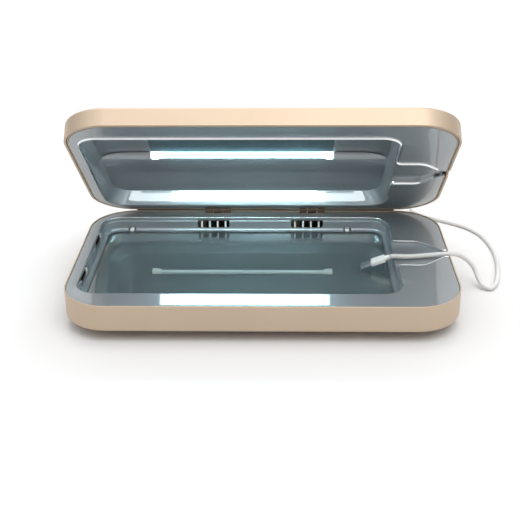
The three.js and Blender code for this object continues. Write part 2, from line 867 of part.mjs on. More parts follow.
// A cover over the lamp's wires: a level round bar that the ceiling trims as it curves down
function lampCover(side) {
  const nearX = lampX + side * (lampLength / 2 + fit * 2);
  const farX = nearX + side * lampCoverLength;
  const [fromX, toX] = [nearX, farX].sort((a, b) => a - b);
  const round = bar(lampCapRadius, fromX, toX, lidLampY, lidLampZ, roundSteps);
  const room = [{ ring: inset(lidRing, fit), z: lidRimZ - overrun }, ...ceilingLevels(-fit)];
  return round.intersect(loft(room, chamberSteps).translate([0, 0, -fit]));
}

// Hinges: the base leaf carries the two outer knuckles and the lid leaf the middle one. Each arm
// bridges from its knuckle over the rim to a plate inside the shell's rear wall
function hingeLeaf(x, up) {
  const half = hingeWidth / 2;
  const middle = lidKnuckleWidth / 2;
  const lidSpans = [[-middle, middle]];
  const baseSpans = [
    [-half, -middle - knuckleGap],
    [middle + knuckleGap, half],
  ];
  const reach = up > 0 ? lidLeafReach : baseLeafReach;
  const backY = rearInner - fit;
  const frontY = backY - leafThickness;
  const arm = outline([
    [frontY, bridgeDrop],
    [halfDepth, bridgeDrop],
    [halfDepth, bridgeDrop + bridgeThickness],
    [backY, bridgeDrop + bridgeThickness],
    [backY, reach],
    [frontY, reach],
  ]);
  const start = knuckleRadius + fit * 2;
  const leafY = (frontY + backY) / 2;
  const plate = block(hingeWidth, leafThickness, reach - start, 0, leafY, (reach + start) / 2);
  const arms = (up > 0 ? lidSpans : baseSpans).flatMap(([from, to]) => [
    alongX(arm, from, to),
    bar(knuckleRadius, from, to, halfDepth, 0, roundSteps),
  ]);
  const bore = bar(pinRadius + fit, -half - overrun, half + overrun, halfDepth, 0);
  const leaf = cut(joined(plate, ...arms), bore);
  return (up > 0 ? leaf : leaf.mirror([0, 0, 1])).translate([x, 0, partingZ]);
}

const hingePin = (x) => bar(pinRadius, x - hingeWidth / 2, x + hingeWidth / 2, halfDepth, partingZ);

// Feet and screws
const foot = ({ x, y }) =>
  turned(
    [
      [0, -footDrop],
      [footRadius - footChamfer, -footDrop],
      [footRadius, footChamfer - footDrop],
      [footRadius, footHeight - footDrop],
      [0, footHeight - footDrop],
    ],
    x,
    y,
    roundSteps,
  );

const caseScrew = ({ x, y }) =>
  turned(
    [
      [0, screwHeadZ],
      [screwHeadRadius - fit, screwHeadZ],
      [screwHeadRadius, screwHeadZ + fit],
      [screwHeadRadius, screwHeadZ + screwHeadHeight],
      [screwShankRadius, screwHeadZ + screwHeadHeight],
      [screwShankRadius, screwTipZ],
      [0, screwTipZ],
    ],
    x,
    y,
    postSteps,
  );

// Circuit board, rounded where the shell's corner is, with clearance for the right-hand bosses
function controlBoard() {
  const rightX = halfWidth - boardRightInset;
  const leftX = rightX - boardLegWidth;
  const rearY = halfDepth - boardRearInset;
  const stripY = chamberRing.back + fit;
  const stripX = chamberRing.right - boardStripReach;
  const shape = outline([
    [leftX, boardFrontY],
    [rightX, boardFrontY],
    [rightX, rearY],
    [stripX, rearY],
    [stripX, stripY],
    [leftX, stripY],
  ]);
  const room = inset(outerRing, wall + fit * 2);
  const roundedRoom = loft([
    { ring: room, z: boardZ - overrun },
    { ring: room, z: boardTopZ + overrun },
  ]);
  const bossRooms = footPlaces
    .filter(({ x }) => x > chamberRing.right)
    .map(({ x, y }) => post(bossRadius + fit * 2, x, y, boardZ - overrun, boardTopZ + overrun));
  return cut(raised(shape, boardZ, boardTopZ).intersect(roundedRoom), ...bossRooms);
}

// The right-hand socket sits where the shell's inner wall curves round the corner
function usbAMouth() {
  const cornerX = usbAX + usbAWidth / 2 - (halfWidth - cornerRadius);
  const innerRadius = cornerRadius - wall;
  return halfDepth - cornerRadius + Math.sqrt(innerRadius ** 2 - cornerX ** 2) - fit;
}

function usbASocket() {
  const mouth = usbAMouth();
  const middle = mouth - usbADepth / 2;
  const can = block(usbAWidth, usbADepth, usbAHeight, 0, middle, 0);
  const roomWidth = usbAWidth - usbAWall * 2;
  const room = block(roomWidth, usbADepth, usbAHeight - usbAWall * 2, 0, middle + socketBack, 0);
  const tongueY = middle - wall / 2;
  const tongueZ = usbATongueThickness / 2;
  const tongue = block(usbATongueWidth, usbADepth - wall, usbATongueThickness, 0, tongueY, tongueZ);
  return joined(cut(can, room), tongue).translate([usbAX, 0, usbAZ]);
}

function usbCSocket() {
  const mouth = rearInner - fit;
  const room = roundedRect(usbCWidth - usbCWall * 2, usbCHeight - usbCWall * 2, usbCCorner - usbCWall);
  const can = alongY(roundedRect(usbCWidth, usbCHeight, usbCCorner), mouth - usbCDepth, mouth);
  const hollow = alongY(room, mouth - usbCDepth + socketBack, mouth + overrun);
  const tongueY = mouth - usbCDepth / 2 - wall / 2;
  const tongue = block(usbCWidth / 2, usbCDepth - wall, usbCWall * 2, 0, tongueY, 0);
  return joined(cut(can, hollow), tongue).translate([usbCX, 0, usbCZ]);
}

function powerInlet() {
  const middle = rearInner - fit - inletDepth / 2;
  const body = block(inletSize, inletDepth, inletSize, 0, middle, 0);
  const bore = new THREE.CylinderGeometry(inletBore, inletBore, inletDepth, smallRoundSteps);
  const pinLength = inletDepth - wall;
  const pin = new THREE.CylinderGeometry(inletPinRadius, inletPinRadius, pinLength, smallRoundSteps);
  const hollow = solidOf(bore.translate(0, middle + socketBack, 0));
  const solidPin = solidOf(pin.translate(0, middle - wall / 2, 0));
  return joined(cut(body, hollow), solidPin).translate([inletX, 0, inletZ]);
}

// A flat wound coil between two end flanges
function lampTransformer() {
  const x = halfWidth - boardRightInset - boardLegWidth / 2;
  const z = onBoardZ + transformerHeight / 2;
  const radius = transformerWidth / 2 - fit;
  const coilLength = transformerLength - transformerFlange;
  const coil = new THREE.CylinderGeometry(radius, radius, coilLength, smallRoundSteps);
  const flanges = sides.map(({ side }) =>
    block(transformerWidth, transformerFlange, transformerHeight, 0, (side * coilLength) / 2, 0),
  );
  const flattened = solidOf(coil.scale(1, 1, transformerHeight / transformerWidth));
  return joined(flattened, ...flanges).translate([x, transformerY, z]);
}

function lidSensor() {
  const bodyHeight = sensorHeight - sensorLegHeight;
  const body = block(sensorThickness, sensorWidth, bodyHeight, 0, 0, sensorLegHeight + bodyHeight / 2);
  const legWidth = sensorWidth - sensorLegThickness;
  const legs = block(sensorLegThickness, legWidth, sensorHeight, 0, 0, sensorHeight / 2);
  return joined(body, legs).translate([magnetX, sensorY, onBoardZ]);
}

const magnet = (side, z) =>
  post(magnetRadius, side * magnetX, magnetY, z, z + magnetThickness, roundSteps);

// Status light: a lens flush with the lid's crown, flanged on the inside, over a small board
function indicatorLens() {
  const flangeZ = lidTopZ - wall - fit;
  return turned(
    [
      [0, flangeZ - lensFlangeThickness],
      [lensFlangeRadius, flangeZ - lensFlangeThickness],
      [lensFlangeRadius, flangeZ],
      [lensRadius, flangeZ],
      [lensRadius, lidTopZ - fit],
      [lensCrownRadius, lidTopZ],
      [0, lidTopZ],
    ],
    0,
    lensY,
  );
}

function indicatorBoard() {
  const z = lidTopZ - wall - fit * 2 - lensFlangeThickness - lensBoardThickness / 2;
  return block(lensBoardLength, lensBoardWidth, lensBoardThickness, 0, lensY, z);
}

// The plug in the rear socket: a hollow shell, and a grip that ends in a tapered strain relief
function usbPlugShell() {
  const endY = halfDepth + fit;
  const middle = endY - plugShellLength / 2;
  const room = block(
    plugShellWidth - plugShellWall * 2,
    plugShellLength,
    plugShellHeight - plugShellWall * 2,
    0,
    middle - plugShellWall * 2,
    0,
  );
  const shell = block(plugShellWidth, plugShellLength, plugShellHeight, 0, middle, 0);
  return cut(shell, room).translate([usbAX, 0, usbAZ]);
}

function usbPlugGrip() {
  const startY = halfDepth + fit * 2;
  const endY = startY + plugGripLength;
  const grip = alongY(roundedRect(plugGripWidth, plugGripHeight, plugGripCorner), startY, endY);
  const reliefShape = [plugReliefTip, plugReliefRadius, plugReliefLength, smallRoundSteps];
  const relief = new THREE.CylinderGeometry(...reliefShape).translate(0, endY + plugReliefLength / 2, 0);
  return joined(grip, solidOf(relief)).translate([usbAX, 0, usbAZ]);
}

// The device plug, about its grip's middle, with its tip to -X
function devicePlug() {
  const grip = alongX(roundedRect(devicePlugWidth, devicePlugThickness, fit * 3), 0, devicePlugLength);
  const reliefEnd = devicePlugLength / 2 + deviceReliefLength - fit;
  const relief = bar(deviceReliefRadius, 0, reliefEnd, 0, 0, postSteps);
  return joined(grip.translate([-devicePlugLength / 2, 0, 0]), relief);
}

function deviceTip() {
  const endX = -devicePlugLength / 2 - fit;
  return alongX(roundedRect(deviceTipWidth, deviceTipThickness, fit), endX - deviceTipLength, endX);
}

// The lead's middle line: it leaves the plug behind the box, comes down to the table, goes round the
// right rear corner, turns back in a loop at the right, and rises through the notch into the chamber
const leadRoute = [
  [91, 93.9, 13.8],
  [91, 98, 13.6],
  [92.4, 103.4, 11.6],
  [96.6, 108.2, 7],
  [103, 109.6, 2.4],
  [111, 105.6, 0.4],
  [120.2, 99, 0.2],
  [129, 93, 0.2],
  [136.8, 86.4, 0.2],
  [143.4, 76.6, 0.2],
  [147.5, 62.6, 0.2],
  [148.8, 44.6, 0.2],
  [147.2, 27, 0.2],
  [144, 12, 0.2],
  [140.6, 1.6, 0.2],
  [136.2, -3.8, 0.4],
  [131.8, -1.2, 1.6],
  [129.8, 3.6, 4.6],
  [128, 6.4, 8.6],
  [124.8, 6.8, 12.8],
  [120, 5.4, 17],
  [115.4, 3, 19.8],
  [110.8, 1, 20.95],
  [104, 0.2, 20.8],
  [97, -1, 20.8],
  [90, -2.2, 20.8],
  [84, -3.1, 21],
  [80.4, -3.6, 21.4],
  [78, -3.6, 21.6],
  [75.84, -3.41, 21.16],
];

function chargeLead() {
  const points = leadRoute.map(([x, y, z]) => new THREE.Vector3(x, y, z));
  const section = Array.from({ length: leadSides }, (_, k) => {
    const angle = (Math.PI * 2 * k) / leadSides;
    return [(leadDiameter / 2) * Math.cos(angle), (leadDiameter / 2) * Math.sin(angle)];
  });
  return solidOf(
    new THREE.ExtrudeGeometry(outline(section), {
      steps: leadSteps,
      bevelEnabled: false,
      extrudePath: new THREE.CatmullRomCurve3(points, false, "centripetal"),
    }),
  );
}

// The object: base and lead stand in the part's own frame, the lid turns about the hinge axis, and the
// device plug leans from the plate, where its tip rests, up to the chamber's rim
const root = new THREE.Group();
const base = new THREE.Group();
const lidHinge = new THREE.Group();
const lid = new THREE.Group();
const lead = new THREE.Group();
const plug = new THREE.Group();
lidHinge.position.set(0, halfDepth, partingZ);
lidHinge.rotation.x = -openAngle;
lid.position.set(0, -halfDepth, -partingZ);
const tipReach = devicePlugLength / 2 + fit + deviceTipLength;
const tipRise = tipReach * Math.sin(devicePlugTilt) + (deviceTipThickness / 2) * Math.cos(devicePlugTilt);
const plugX = chamberRing.right - devicePlugInset;
plug.position.set(plugX, funnelY + devicePlugOffset, plateTopZ + fit + tipRise);
plug.rotation.set(0, -devicePlugTilt, devicePlugYaw, "ZYX");
lidHinge.add(lid);
root.add(base, lidHinge, lead, plug);

function place(group, name, solid, material) {
  const mesh = new THREE.Mesh(geometryOf(solid), material);
  mesh.name = name;
  group.add(mesh);
}

place(base, "base_shell", baseShell(), goldPaint);
place(base, "base_chamber_deck", baseLiner(), mirrorLiner);
place(base, "quartz_plate", quartzPlate(), quartz);
place(base, "base_lamp_tube", lampTube(funnelY, baseLampZ), lampGlass);
place(base, "control_board", controlBoard(), boardGreen);
place(base, "lamp_transformer", lampTransformer(), blackPlastic);
place(base, "usb_a_socket", usbASocket(), steel);
place(base, "usb_c_socket", usbCSocket(), steel);
place(base, "power_inlet", powerInlet(), blackPlastic);
place(base, "lid_sensor", lidSensor(), blackPlastic);
place(lid, "lid_shell", lidShell(), goldPaint);
place(lid, "lid_chamber_deck", lidLiner(), mirrorLiner);
place(lid, "lid_lamp_tube", lampTube(lidLampY, lidLampZ), lampGlass);
place(lid, "indicator_lens", indicatorLens(), lensClear);
place(lid, "indicator_board", indicatorBoard(), boardGreen);
for (const { name, side } of sides) {
  place(base, `base_lamp_cap_${name}`, lampCap(side, funnelY, baseLampZ), lampCeramic);
  place(base, `base_magnet_${name}`, magnet(side, baseMagnetZ), magnetMetal);
  place(base, `hinge_base_leaf_${name}`, hingeLeaf(side * hingeSpread, -1), darkSteel);
  place(base, `hinge_pin_${name}`, hingePin(side * hingeSpread), steel);
  place(lid, `hinge_lid_leaf_${name}`, hingeLeaf(side * hingeSpread, 1), darkSteel);
  place(lid, `lid_lamp_cap_${name}`, lampCap(side, lidLampY, lidLampZ), lampCeramic);
  place(lid, `lid_lamp_cover_${name}`, lampCover(side), coverGrey);
  place(lid, `lid_magnet_${name}`, magnet(side, lidMagnetZ), magnetMetal);
}
for (const clip of clipPlaces()) place(base, `plate_clip_${clip.name}`, plateClip(clip), whitePlastic);
for (const corner of footPlaces) {
  place(base, `foot_${corner.name}`, foot(corner), footRubber);
  place(base, `screw_${corner.name}`, caseScrew(corner), steel);
}
place(lead, "charge_lead", chargeLead(), whitePlastic);
place(lead, "usb_plug_shell", usbPlugShell(), steel);
place(lead, "usb_plug_grip", usbPlugGrip(), whitePlastic);
place(plug, "device_plug_grip", devicePlug(), whitePlastic);
place(plug, "device_plug_tip", deviceTip(), steel);

export default root;
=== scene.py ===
"""Looks for a phone sanitizer box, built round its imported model. Lengths in the code are millimetres."""
import json
import math

import bmesh
import bpy
import numpy as np
from mathutils import Matrix, Vector
from mathutils.geometry import delaunay_2d_cdt

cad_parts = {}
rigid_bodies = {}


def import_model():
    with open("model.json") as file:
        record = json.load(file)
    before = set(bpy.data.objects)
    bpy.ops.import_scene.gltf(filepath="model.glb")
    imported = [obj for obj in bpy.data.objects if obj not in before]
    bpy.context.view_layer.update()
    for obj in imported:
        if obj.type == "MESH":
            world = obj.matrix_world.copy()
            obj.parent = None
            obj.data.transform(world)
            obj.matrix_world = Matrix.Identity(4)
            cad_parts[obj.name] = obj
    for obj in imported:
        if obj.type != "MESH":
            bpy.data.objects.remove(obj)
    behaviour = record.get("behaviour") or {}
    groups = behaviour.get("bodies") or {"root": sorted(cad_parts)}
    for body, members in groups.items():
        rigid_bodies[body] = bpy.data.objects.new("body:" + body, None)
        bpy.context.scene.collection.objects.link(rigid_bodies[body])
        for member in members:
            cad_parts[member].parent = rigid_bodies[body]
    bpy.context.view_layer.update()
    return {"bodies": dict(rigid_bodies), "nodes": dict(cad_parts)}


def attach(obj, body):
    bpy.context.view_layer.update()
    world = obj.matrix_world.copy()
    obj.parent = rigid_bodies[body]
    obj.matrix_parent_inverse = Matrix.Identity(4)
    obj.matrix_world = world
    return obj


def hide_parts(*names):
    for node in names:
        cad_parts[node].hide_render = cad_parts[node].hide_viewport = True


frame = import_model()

bl_info = {
    "name": "Phone Sanitizer Box",
    "version": (1, 0, 0),
    "blender": (4, 5, 0),
    "location": "View3D > Sidebar > Sanitizer",
    "description": "Builds the skins, linings, lamps, lead and finishes of an open phone sanitizer box",
    "category": "Object",
}

MM = 0.001
TAU = math.tau
KEYS_PER_MM = 2000

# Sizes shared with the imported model. A ring holds its left, right, front, back and corner radius
WIDTH, DEPTH = 223.0, 132.0
CORNER = 26.6
CROWN_CORNER = 9.0
CROWN_RUN = 30.0
CROWN_RISE = math.tan(math.radians(20.0)) * CROWN_RUN / 2
EDGE_FILLET, EDGE_TURN = 1.6, math.radians(70.0)
WALL, FIT = 1.5, 0.3
BASE_BAND, LID_BAND = 16.0, 11.2
PARTING = BASE_BAND + CROWN_RISE
BASE_RIM, LID_RIM = PARTING - 0.2, PARTING + 0.2
LID_TOP = PARTING + LID_BAND + CROWN_RISE
HINGE_Y = DEPTH / 2
OPEN_ANGLE = math.radians(43.2)
FLOOR_Z = -1.3
CHAMBER = (-104.6, 79.0, -50.5, 54.0, 12.0)
LEDGE_RUN, LEDGE_Z = 1.0, BASE_RIM - 2.3
PLATE_TOP, PLATE_THICKNESS = BASE_RIM - 8.5, 1.5
PLATE_SEAT = PLATE_TOP - 1.8
BASIN_FLOOR = BASE_RIM - 13.6
BASIN_RING = (-84.6, 59.0, -8.6, 9.4, 4.5)
LAMP_X, LAMP_HALF = -12.8, 54.4
BASE_LAMP_Y, BASE_LAMP_Z = 0.4, BASE_RIM - 13.9
LID_LAMP_Y, LID_LAMP_Z = -0.4, LID_RIM + 11.0
LAMP_RADIUS, CAP_RADIUS, CAP_LENGTH = 1.7, 2.6, 5.5
TROUGH = CAP_RADIUS + FIT
FUNNEL_HALF, NOTCH_HALF = 16.4, 4.1
SHOULDER_X, NECK_X = WIDTH / 2 - 16.5, WIDTH / 2 - 3.5
SHOULDER_ROUND, NECK_ROUND = 11, 2.5
HINGE_X, HINGE_HALF, HINGE_ROOM = 31.0, 8.4, 3.4
FOOT_X, FOOT_Y, FOOT_RADIUS, SCREW_HEAD = 84.0, 38.0, 6.0, 2.8
USB_A_X, USB_A_Z, USB_A_HOLE = 91.0, 13.8, (12.6, 5.1, 0.6)
USB_C_X, USB_C_Z, USB_C_HOLE = 75.6, 12.0, (9.0, 3.2, 1.5)
INLET_X, INLET_Z, INLET_HOLE = 63.3, 14.4, 2.9
REAR_WALL = (48, 68)
GRILLE_XS = (-33.36, 27.41)
GRILLE_WIDTH, GRILLE_HEIGHT, GRILLE_CORNER = 20.6, 4.5, 1.5
RIB_PITCH, RIB_WIDTH = 5.14, 1.2
# The recess along a grille's top: its depth, how far it starts below the ledge, and its height
RECESS = (0.8, 0.45, 1.75)
SLOT_YS = (26.2, -22.18)
SLOT_LENGTH, SLOT_HEIGHT, SLOT_RIB = 18.5, 3.0, 1.8
CLIP_XS, CLIP_HOLE = (-86.42, 53.48), (5, 8, 2.1)
LID_CHAMBER = (-103.0, 79.0, -49.5, 58.0, 12.0)
LID_CEILING = 12.0
LENS_Y, LENS_HOLE = -30.0, 3.9
BODIES, SIDES = ("base", "lid"), ("left", "right")

# Sizes of the drawn skins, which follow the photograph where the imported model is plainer
FUNNEL_Y = 2.4
LINING = 1.2
LINER_EDGE = (-108.9, 108.9, -63.4, 63.4, 24.0)
RIM_WALL, RIM_DEPTH = 0.8, 2.6
DECK_EDGE, DECK_LEVEL = (-110.5, 110.5, -65.0, 65.0, 25.6), 2.4
WASHER_RADIUS = 2.7

# Points in each corner and stretches in each straight side of the plans
CHAMBER_PARTS, EDGE_PARTS, LID_PARTS = (10, 30), (14, 30), (12, 24)

# The lead's middle line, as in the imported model
LEAD_DIAMETER = 2.8
LEAD_ROUTE = [
    (91, 93.9, 13.8), (91, 98, 13.6), (92.4, 103.4, 11.6), (96.6, 108.2, 7), (103, 109.6, 2.4),
    (111, 105.6, 0.4), (120.2, 99, 0.2), (129, 93, 0.2), (136.8, 86.4, 0.2), (143.4, 76.6, 0.2),
    (147.5, 62.6, 0.2), (148.8, 44.6, 0.2), (147.2, 27, 0.2), (144, 12, 0.2), (140.6, 1.6, 0.2),
    (136.2, -3.8, 0.4), (131.8, -1.2, 1.6), (129.8, 3.6, 4.6), (128, 6.4, 8.6), (124.8, 6.8, 12.8),
    (120, 5.4, 17), (115.4, 3, 19.8), (110.8, 1, 20.95), (104, 0.2, 20.8), (97, -1, 20.8),
    (90, -2.2, 20.8), (84, -3.1, 21), (80.4, -3.6, 21.4), (78, -3.6, 21.6), (75.84, -3.41, 21.16),
]

# The camera, fitted to the photograph's outlines
CAMERA_PLACE = (11.72, -534.02, 273.37 + CROWN_RISE)
CAMERA_PITCH, CAMERA_YAW, CAMERA_ROLL = 22.634, -1.437, -0.509
FOCAL_PIXELS, IMAGE_SIDE, AXIS_ROW = 986.8, 520, 200
SENSOR_WIDTH, CLIP_METRES = 36, (0.05, 20)


def linear(code, alpha=1.0):
    """An sRGB hex code as a linear colour."""
    channels = [int(code[k:k + 2], 16) / 255 for k in (0, 2, 4)]
    made = [c / 12.92 if c <= 0.04045 else ((c + 0.055) / 1.055) ** 2.4 for c in channels]
    return (*made, alpha)


# Plans and meshes
def inset(ring, by, radius=None):
    """A rounded rectangle drawn in on all sides, its corners too unless a radius is given."""
    left, right, front, back, corner = ring
    return (left + by, right - by, front + by, back - by, corner - by if radius is None else radius)


def ring_points(ring, steps, parts=1):
    """A rounded rectangle, anticlockwise from its right side, each straight side in parts."""
    left, right, front, back, radius = ring
    centres = ((right - radius, back - radius), (left + radius, back - radius),
               (left + radius, front + radius), (right - radius, front + radius))
    arcs = []
    for quarter, (x, y) in enumerate(centres):
        turns = [TAU / 4 * (quarter + k / steps) for k in range(steps + 1)]
        arcs.append([(x + radius * math.cos(a), y + radius * math.sin(a)) for a in turns])
    points = []
    for arc, following in zip(arcs, arcs[1:] + arcs[:1]):
        points += arc
        (ax, ay), (bx, by) = arc[-1], following[0]
        points += [(ax + (bx - ax) * k / parts, ay + (by - ay) * k / parts) for k in range(1, parts)]
    return points


def rounded_path(corners):
    """An open path through corners (x, y, radius), its inner corners turned into arcs."""
    points = [Vector(corners[0][:2])]
    for before, (x, y, radius), after in zip(corners, corners[1:], corners[2:]):
        here = Vector((x, y))
        back = (Vector(before[:2]) - here).normalized()
        ahead = (Vector(after[:2]) - here).normalized()
        half = back.angle(ahead) / 2
        centre = here + (back + ahead).normalized() * (radius / math.sin(half))
        start = here + back * (radius / math.tan(half)) - centre
        end = here + ahead * (radius / math.tan(half)) - centre
        turn = math.atan2(start.x * end.y - start.y * end.x, start.dot(end))
        steps = max(3, round(abs(turn) / 0.13))
        points += [centre + Matrix.Rotation(turn * k / steps, 2) @ start for k in range(steps + 1)]
    points.append(Vector(corners[-1][:2]))
    return points


def divided(points, longest):
    """The same path with its long stretches cut into short ones."""
    made = [points[0]]
    for a, b in zip(points, points[1:]):
        count = max(1, math.ceil((b - a).length / longest))
        made += [a.lerp(b, k / count) for k in range(1, count + 1)]
    return made


def outward(points, closed):
    """The normals of an anticlockwise path, lengthened at its corners so that offsets stay parallel."""
    count = len(points)
    normals = []
    for k, here in enumerate(points):
        before = points[k - 1] if closed or k else None
        after = points[(k + 1) % count] if closed or k + 1 < count else None
        sides = []
        for a, b in ((before, here), (here, after)):
            if a is not None and b is not None:
                along = (Vector(b) - Vector(a)).normalized()
                sides.append(Vector((along.y, -along.x)))
        mean = sum(sides, Vector((0, 0))).normalized()
        normals.append(mean / mean.dot(sides[0]))
    return normals


def rect_distance(x, y, ring):
    """How far a place is outside a rounded rectangle; negative inside it."""
    left, right, front, back, radius = ring
    qx = abs(x - (left + right) / 2) - (right - left) / 2 + radius
    qy = abs(y - (front + back) / 2) - (back - front) / 2 + radius
    return math.hypot(max(qx, 0), max(qy, 0)) + min(max(qx, qy), 0) - radius


def inside(points, loop):
    """Which of the points lie inside a closed loop."""
    found = np.zeros(len(points), bool)
    x, y = points[:, 0], points[:, 1]
    for (ax, ay), (bx, by) in zip(loop, np.roll(loop, -1, 0)):
        if ay != by:
            found ^= ((ay > y) != (by > y)) & (x < (bx - ax) * (y - ay) / (by - ay) + ax)
    return found


def fill(outer, holes, spacing, given=()):
    """Triangles between a closed outer loop and its holes, through given places and a grid."""
    least, share = 0.2, 0.6
    loops = [np.array([tuple(p) for p in loop], float) for loop in (outer, *holes)]
    low, high = loops[0].min(0), loops[0].max(0)
    columns, rows = (np.arange(a + spacing / 2, b, spacing) for a, b in zip(low, high))
    grid = np.array([(x, y) for x in columns for y in rows])
    grid = grid[inside(grid, loops[0])]
    for hole in loops[1:]:
        grid = grid[~inside(grid, hole)]
    rim = np.concatenate(loops)
    if len(given):
        given = np.array(given)
        given = given[inside(given, loops[0])]
        rim = np.concatenate([rim, given[[np.hypot(*(rim - place).T).min() > least for place in given]]])
    clear = np.array([np.hypot(*(rim - place).T).min() > spacing * share for place in grid])
    places = np.concatenate([rim, grid[clear]])
    edges, start = [], 0
    for loop in loops:
        edges += [(start + k, start + (k + 1) % len(loop)) for k in range(len(loop))]
        start += len(loop)
    made = delaunay_2d_cdt([Vector(p) for p in places], edges, [], 0, 1e-6)
    points = np.array([tuple(p) for p in made[0]])
    faces = [list(f) for f in made[2]]
    middles = np.array([points[f].mean(0) for f in faces])
    keep = inside(middles, loops[0])
    for hole in loops[1:]:
        keep &= ~inside(middles, hole)
    kept = []
    for face in (f for f, k in zip(faces, keep) if k):
        a, b, c = (points[i] for i in face[:3])
        turn = (b[0] - a[0]) * (c[1] - a[1]) - (b[1] - a[1]) * (c[0] - a[0])
        kept.append(face if turn > 0 else face[::-1])
    return points, kept


class Skin:
    """A surface that is given thickness: each place on its face has a partner on its back."""

    def __init__(self):
        self.face, self.back, self.known, self.faces = [], [], {}, []

    def at(self, place, partner):
        key = tuple(round(c * KEYS_PER_MM) for c in place)
        if key not in self.known:
            self.known[key] = len(self.face)
            self.face.append(tuple(place))
            self.back.append(tuple(partner))
        return self.known[key]

    def add(self, corners):
        ring = [c for k, c in enumerate(corners) if c != corners[k - 1]]
        if len(ring) > 2:
            self.faces.append(ring)

    def strips(self, loops, closed):
        """Faces between loops of places that run the same way, from the outermost loop inwards."""
        rows = [[self.at(*pair) for pair in loop] for loop in loops]
        count = len(rows[0])
        for outer, inner in zip(rows, rows[1:]):
            for k in range(count if closed else count - 1):
                n = (k + 1) % count
                self.add([outer[k], outer[n], inner[n], inner[k]])
        return rows[-1]

    def solid(self):
        """Places and faces of the closed body."""
        count = len(self.face)
        used = {}
        for ring in self.faces:
            for a, b in zip(ring, ring[1:] + ring[:1]):
                used[(a, b)] = True
        faces = self.faces + [[c + count for c in reversed(ring)] for ring in self.faces]
        for a, b in used:
            if (b, a) not in used:
                faces.append([b, a, a + count, b + count])
        return self.face + self.back, faces


def add_object(name, places, faces, turned=None):
    mesh = bpy.data.meshes.new(name)
    mesh.from_pydata([Vector(p) * MM for p in places], [], faces)
    if turned:
        mesh.transform(turned)
    made = bpy.data.objects.new(name, mesh)
    bpy.context.scene.collection.objects.link(made)
    return made


def lid_opened():
    """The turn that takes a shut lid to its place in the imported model, in metres."""
    axis = Vector((0, HINGE_Y, PARTING)) * MM
    return Matrix.Translation(axis) @ Matrix.Rotation(-OPEN_ANGLE, 4, "X") @ Matrix.Translation(-axis)


def loft(levels, steps):
    """Places and faces of a closed body through rings (ring, height)."""
    rows = [[(x, y, z) for x, y in ring_points(ring, steps)] for ring, z in levels]
    count = len(rows[0])
    faces = [list(range(count))[::-1]]
    for start in range(0, count * (len(rows) - 1), count):
        for k in range(count):
            n = (k + 1) % count
            faces.append([start + k, start + n, start + n + count, start + k + count])
    last = count * (len(rows) - 1)
    faces.append([last + k for k in range(count)])
    return [p for row in rows for p in row], faces


def extruded(plan, low, high):
    """Places and faces of an upright prism."""
    count = len(plan)
    places = [(x, y, z) for z in (low, high) for x, y in plan]
    faces = [list(range(count))[::-1], list(range(count, 2 * count))]
    faces += [[k, (k + 1) % count, (k + 1) % count + count, k + count] for k in range(count)]
    return places, faces


def unlifted(x, y):
    return 0.0


def swept(path, normals, section, closed=False, lift=unlifted):
    """Places and faces of a body whose section (distance outwards, height) runs along a plan."""
    size = len(section)
    places = [(x + out.x * d, y + out.y * d, z + lift(x, y))
              for (x, y), out in zip(path, normals) for d, z in section]
    faces = []
    for k in range(len(path) if closed else len(path) - 1):
        here, there = k * size, (k + 1) % len(path) * size
        faces += [[here + j, here + (j + 1) % size, there + (j + 1) % size, there + j] for j in range(size)]
    if not closed:
        last = (len(path) - 1) * size
        faces += [list(range(size))[::-1], [last + j for j in range(size)]]
    return places, faces


def lathed(profile, steps):
    """Places and faces of a closed body turned about Z from (radius, height) pairs, upwards."""
    places, rows, faces = [], [], []
    for radius, height in profile:
        if radius == 0:
            rows.append([len(places)] * steps)
            places.append((0, 0, height))
        else:
            rows.append([len(places) + k for k in range(steps)])
            turns = [TAU * k / steps for k in range(steps)]
            places += [(radius * math.cos(a), radius * math.sin(a), height) for a in turns]
    for low, high in zip(rows, rows[1:]):
        for k in range(steps):
            n = (k + 1) % steps
            ring = [low[k], low[n], high[n], high[k]]
            ring = [c for i, c in enumerate(ring) if c != ring[i - 1]]
            if len(ring) > 2:
                faces.append(ring)
    return places, faces


def placed(shape, matrix):
    places, faces = shape
    return [tuple(matrix @ Vector(p)) for p in places], faces


def gathered(*shapes):
    """Several bodies as one list of places and faces."""
    places, faces = [], []
    for own, rings in shapes:
        faces += [[c + len(places) for c in ring] for ring in rings]
        places += own
    return places, faces


ALONG_X = Matrix.Rotation(TAU / 4, 4, "Y")
ALONG_Y = Matrix.Rotation(-TAU / 4, 4, "X")


def moved(x, y, z):
    return Matrix.Translation((x, y, z))


def post(radius, x, y, low, high):
    """A round body along Z."""
    return placed(lathed([(0, low), (radius, low), (radius, high), (0, high)], 48), moved(x, y, 0))


def bar(radius, from_x, to_x, y, z):
    """A round body along X."""
    return placed(post(radius, 0, 0, from_x, to_x), moved(0, y, z) @ ALONG_X)


def block(width, depth, height, x, y, z, corner=0.05):
    """A block round its middle, with rounded upright edges."""
    ring = (x - width / 2, x + width / 2, y - depth / 2, y + depth / 2, corner)
    return loft([(ring, z - height / 2), (ring, z + height / 2)], 3)


def channel(width, height, corner, from_y, to_y, x, z):
    """A rounded bar along Y."""
    plan = ring_points((-width / 2, width / 2, -height / 2, height / 2, corner), 8)
    shape = extruded(plan, -to_y, -from_y)
    return placed(shape, moved(x, 0, z) @ Matrix.Rotation(TAU / 4, 4, "X"))


def settle(piece):
    """Makes a piece's modifiers part of its mesh."""
    graph = bpy.context.evaluated_depsgraph_get()
    made = bpy.data.meshes.new_from_object(piece.evaluated_get(graph))
    piece.modifiers.clear()
    old = piece.data
    piece.data = made
    bpy.data.meshes.remove(old)


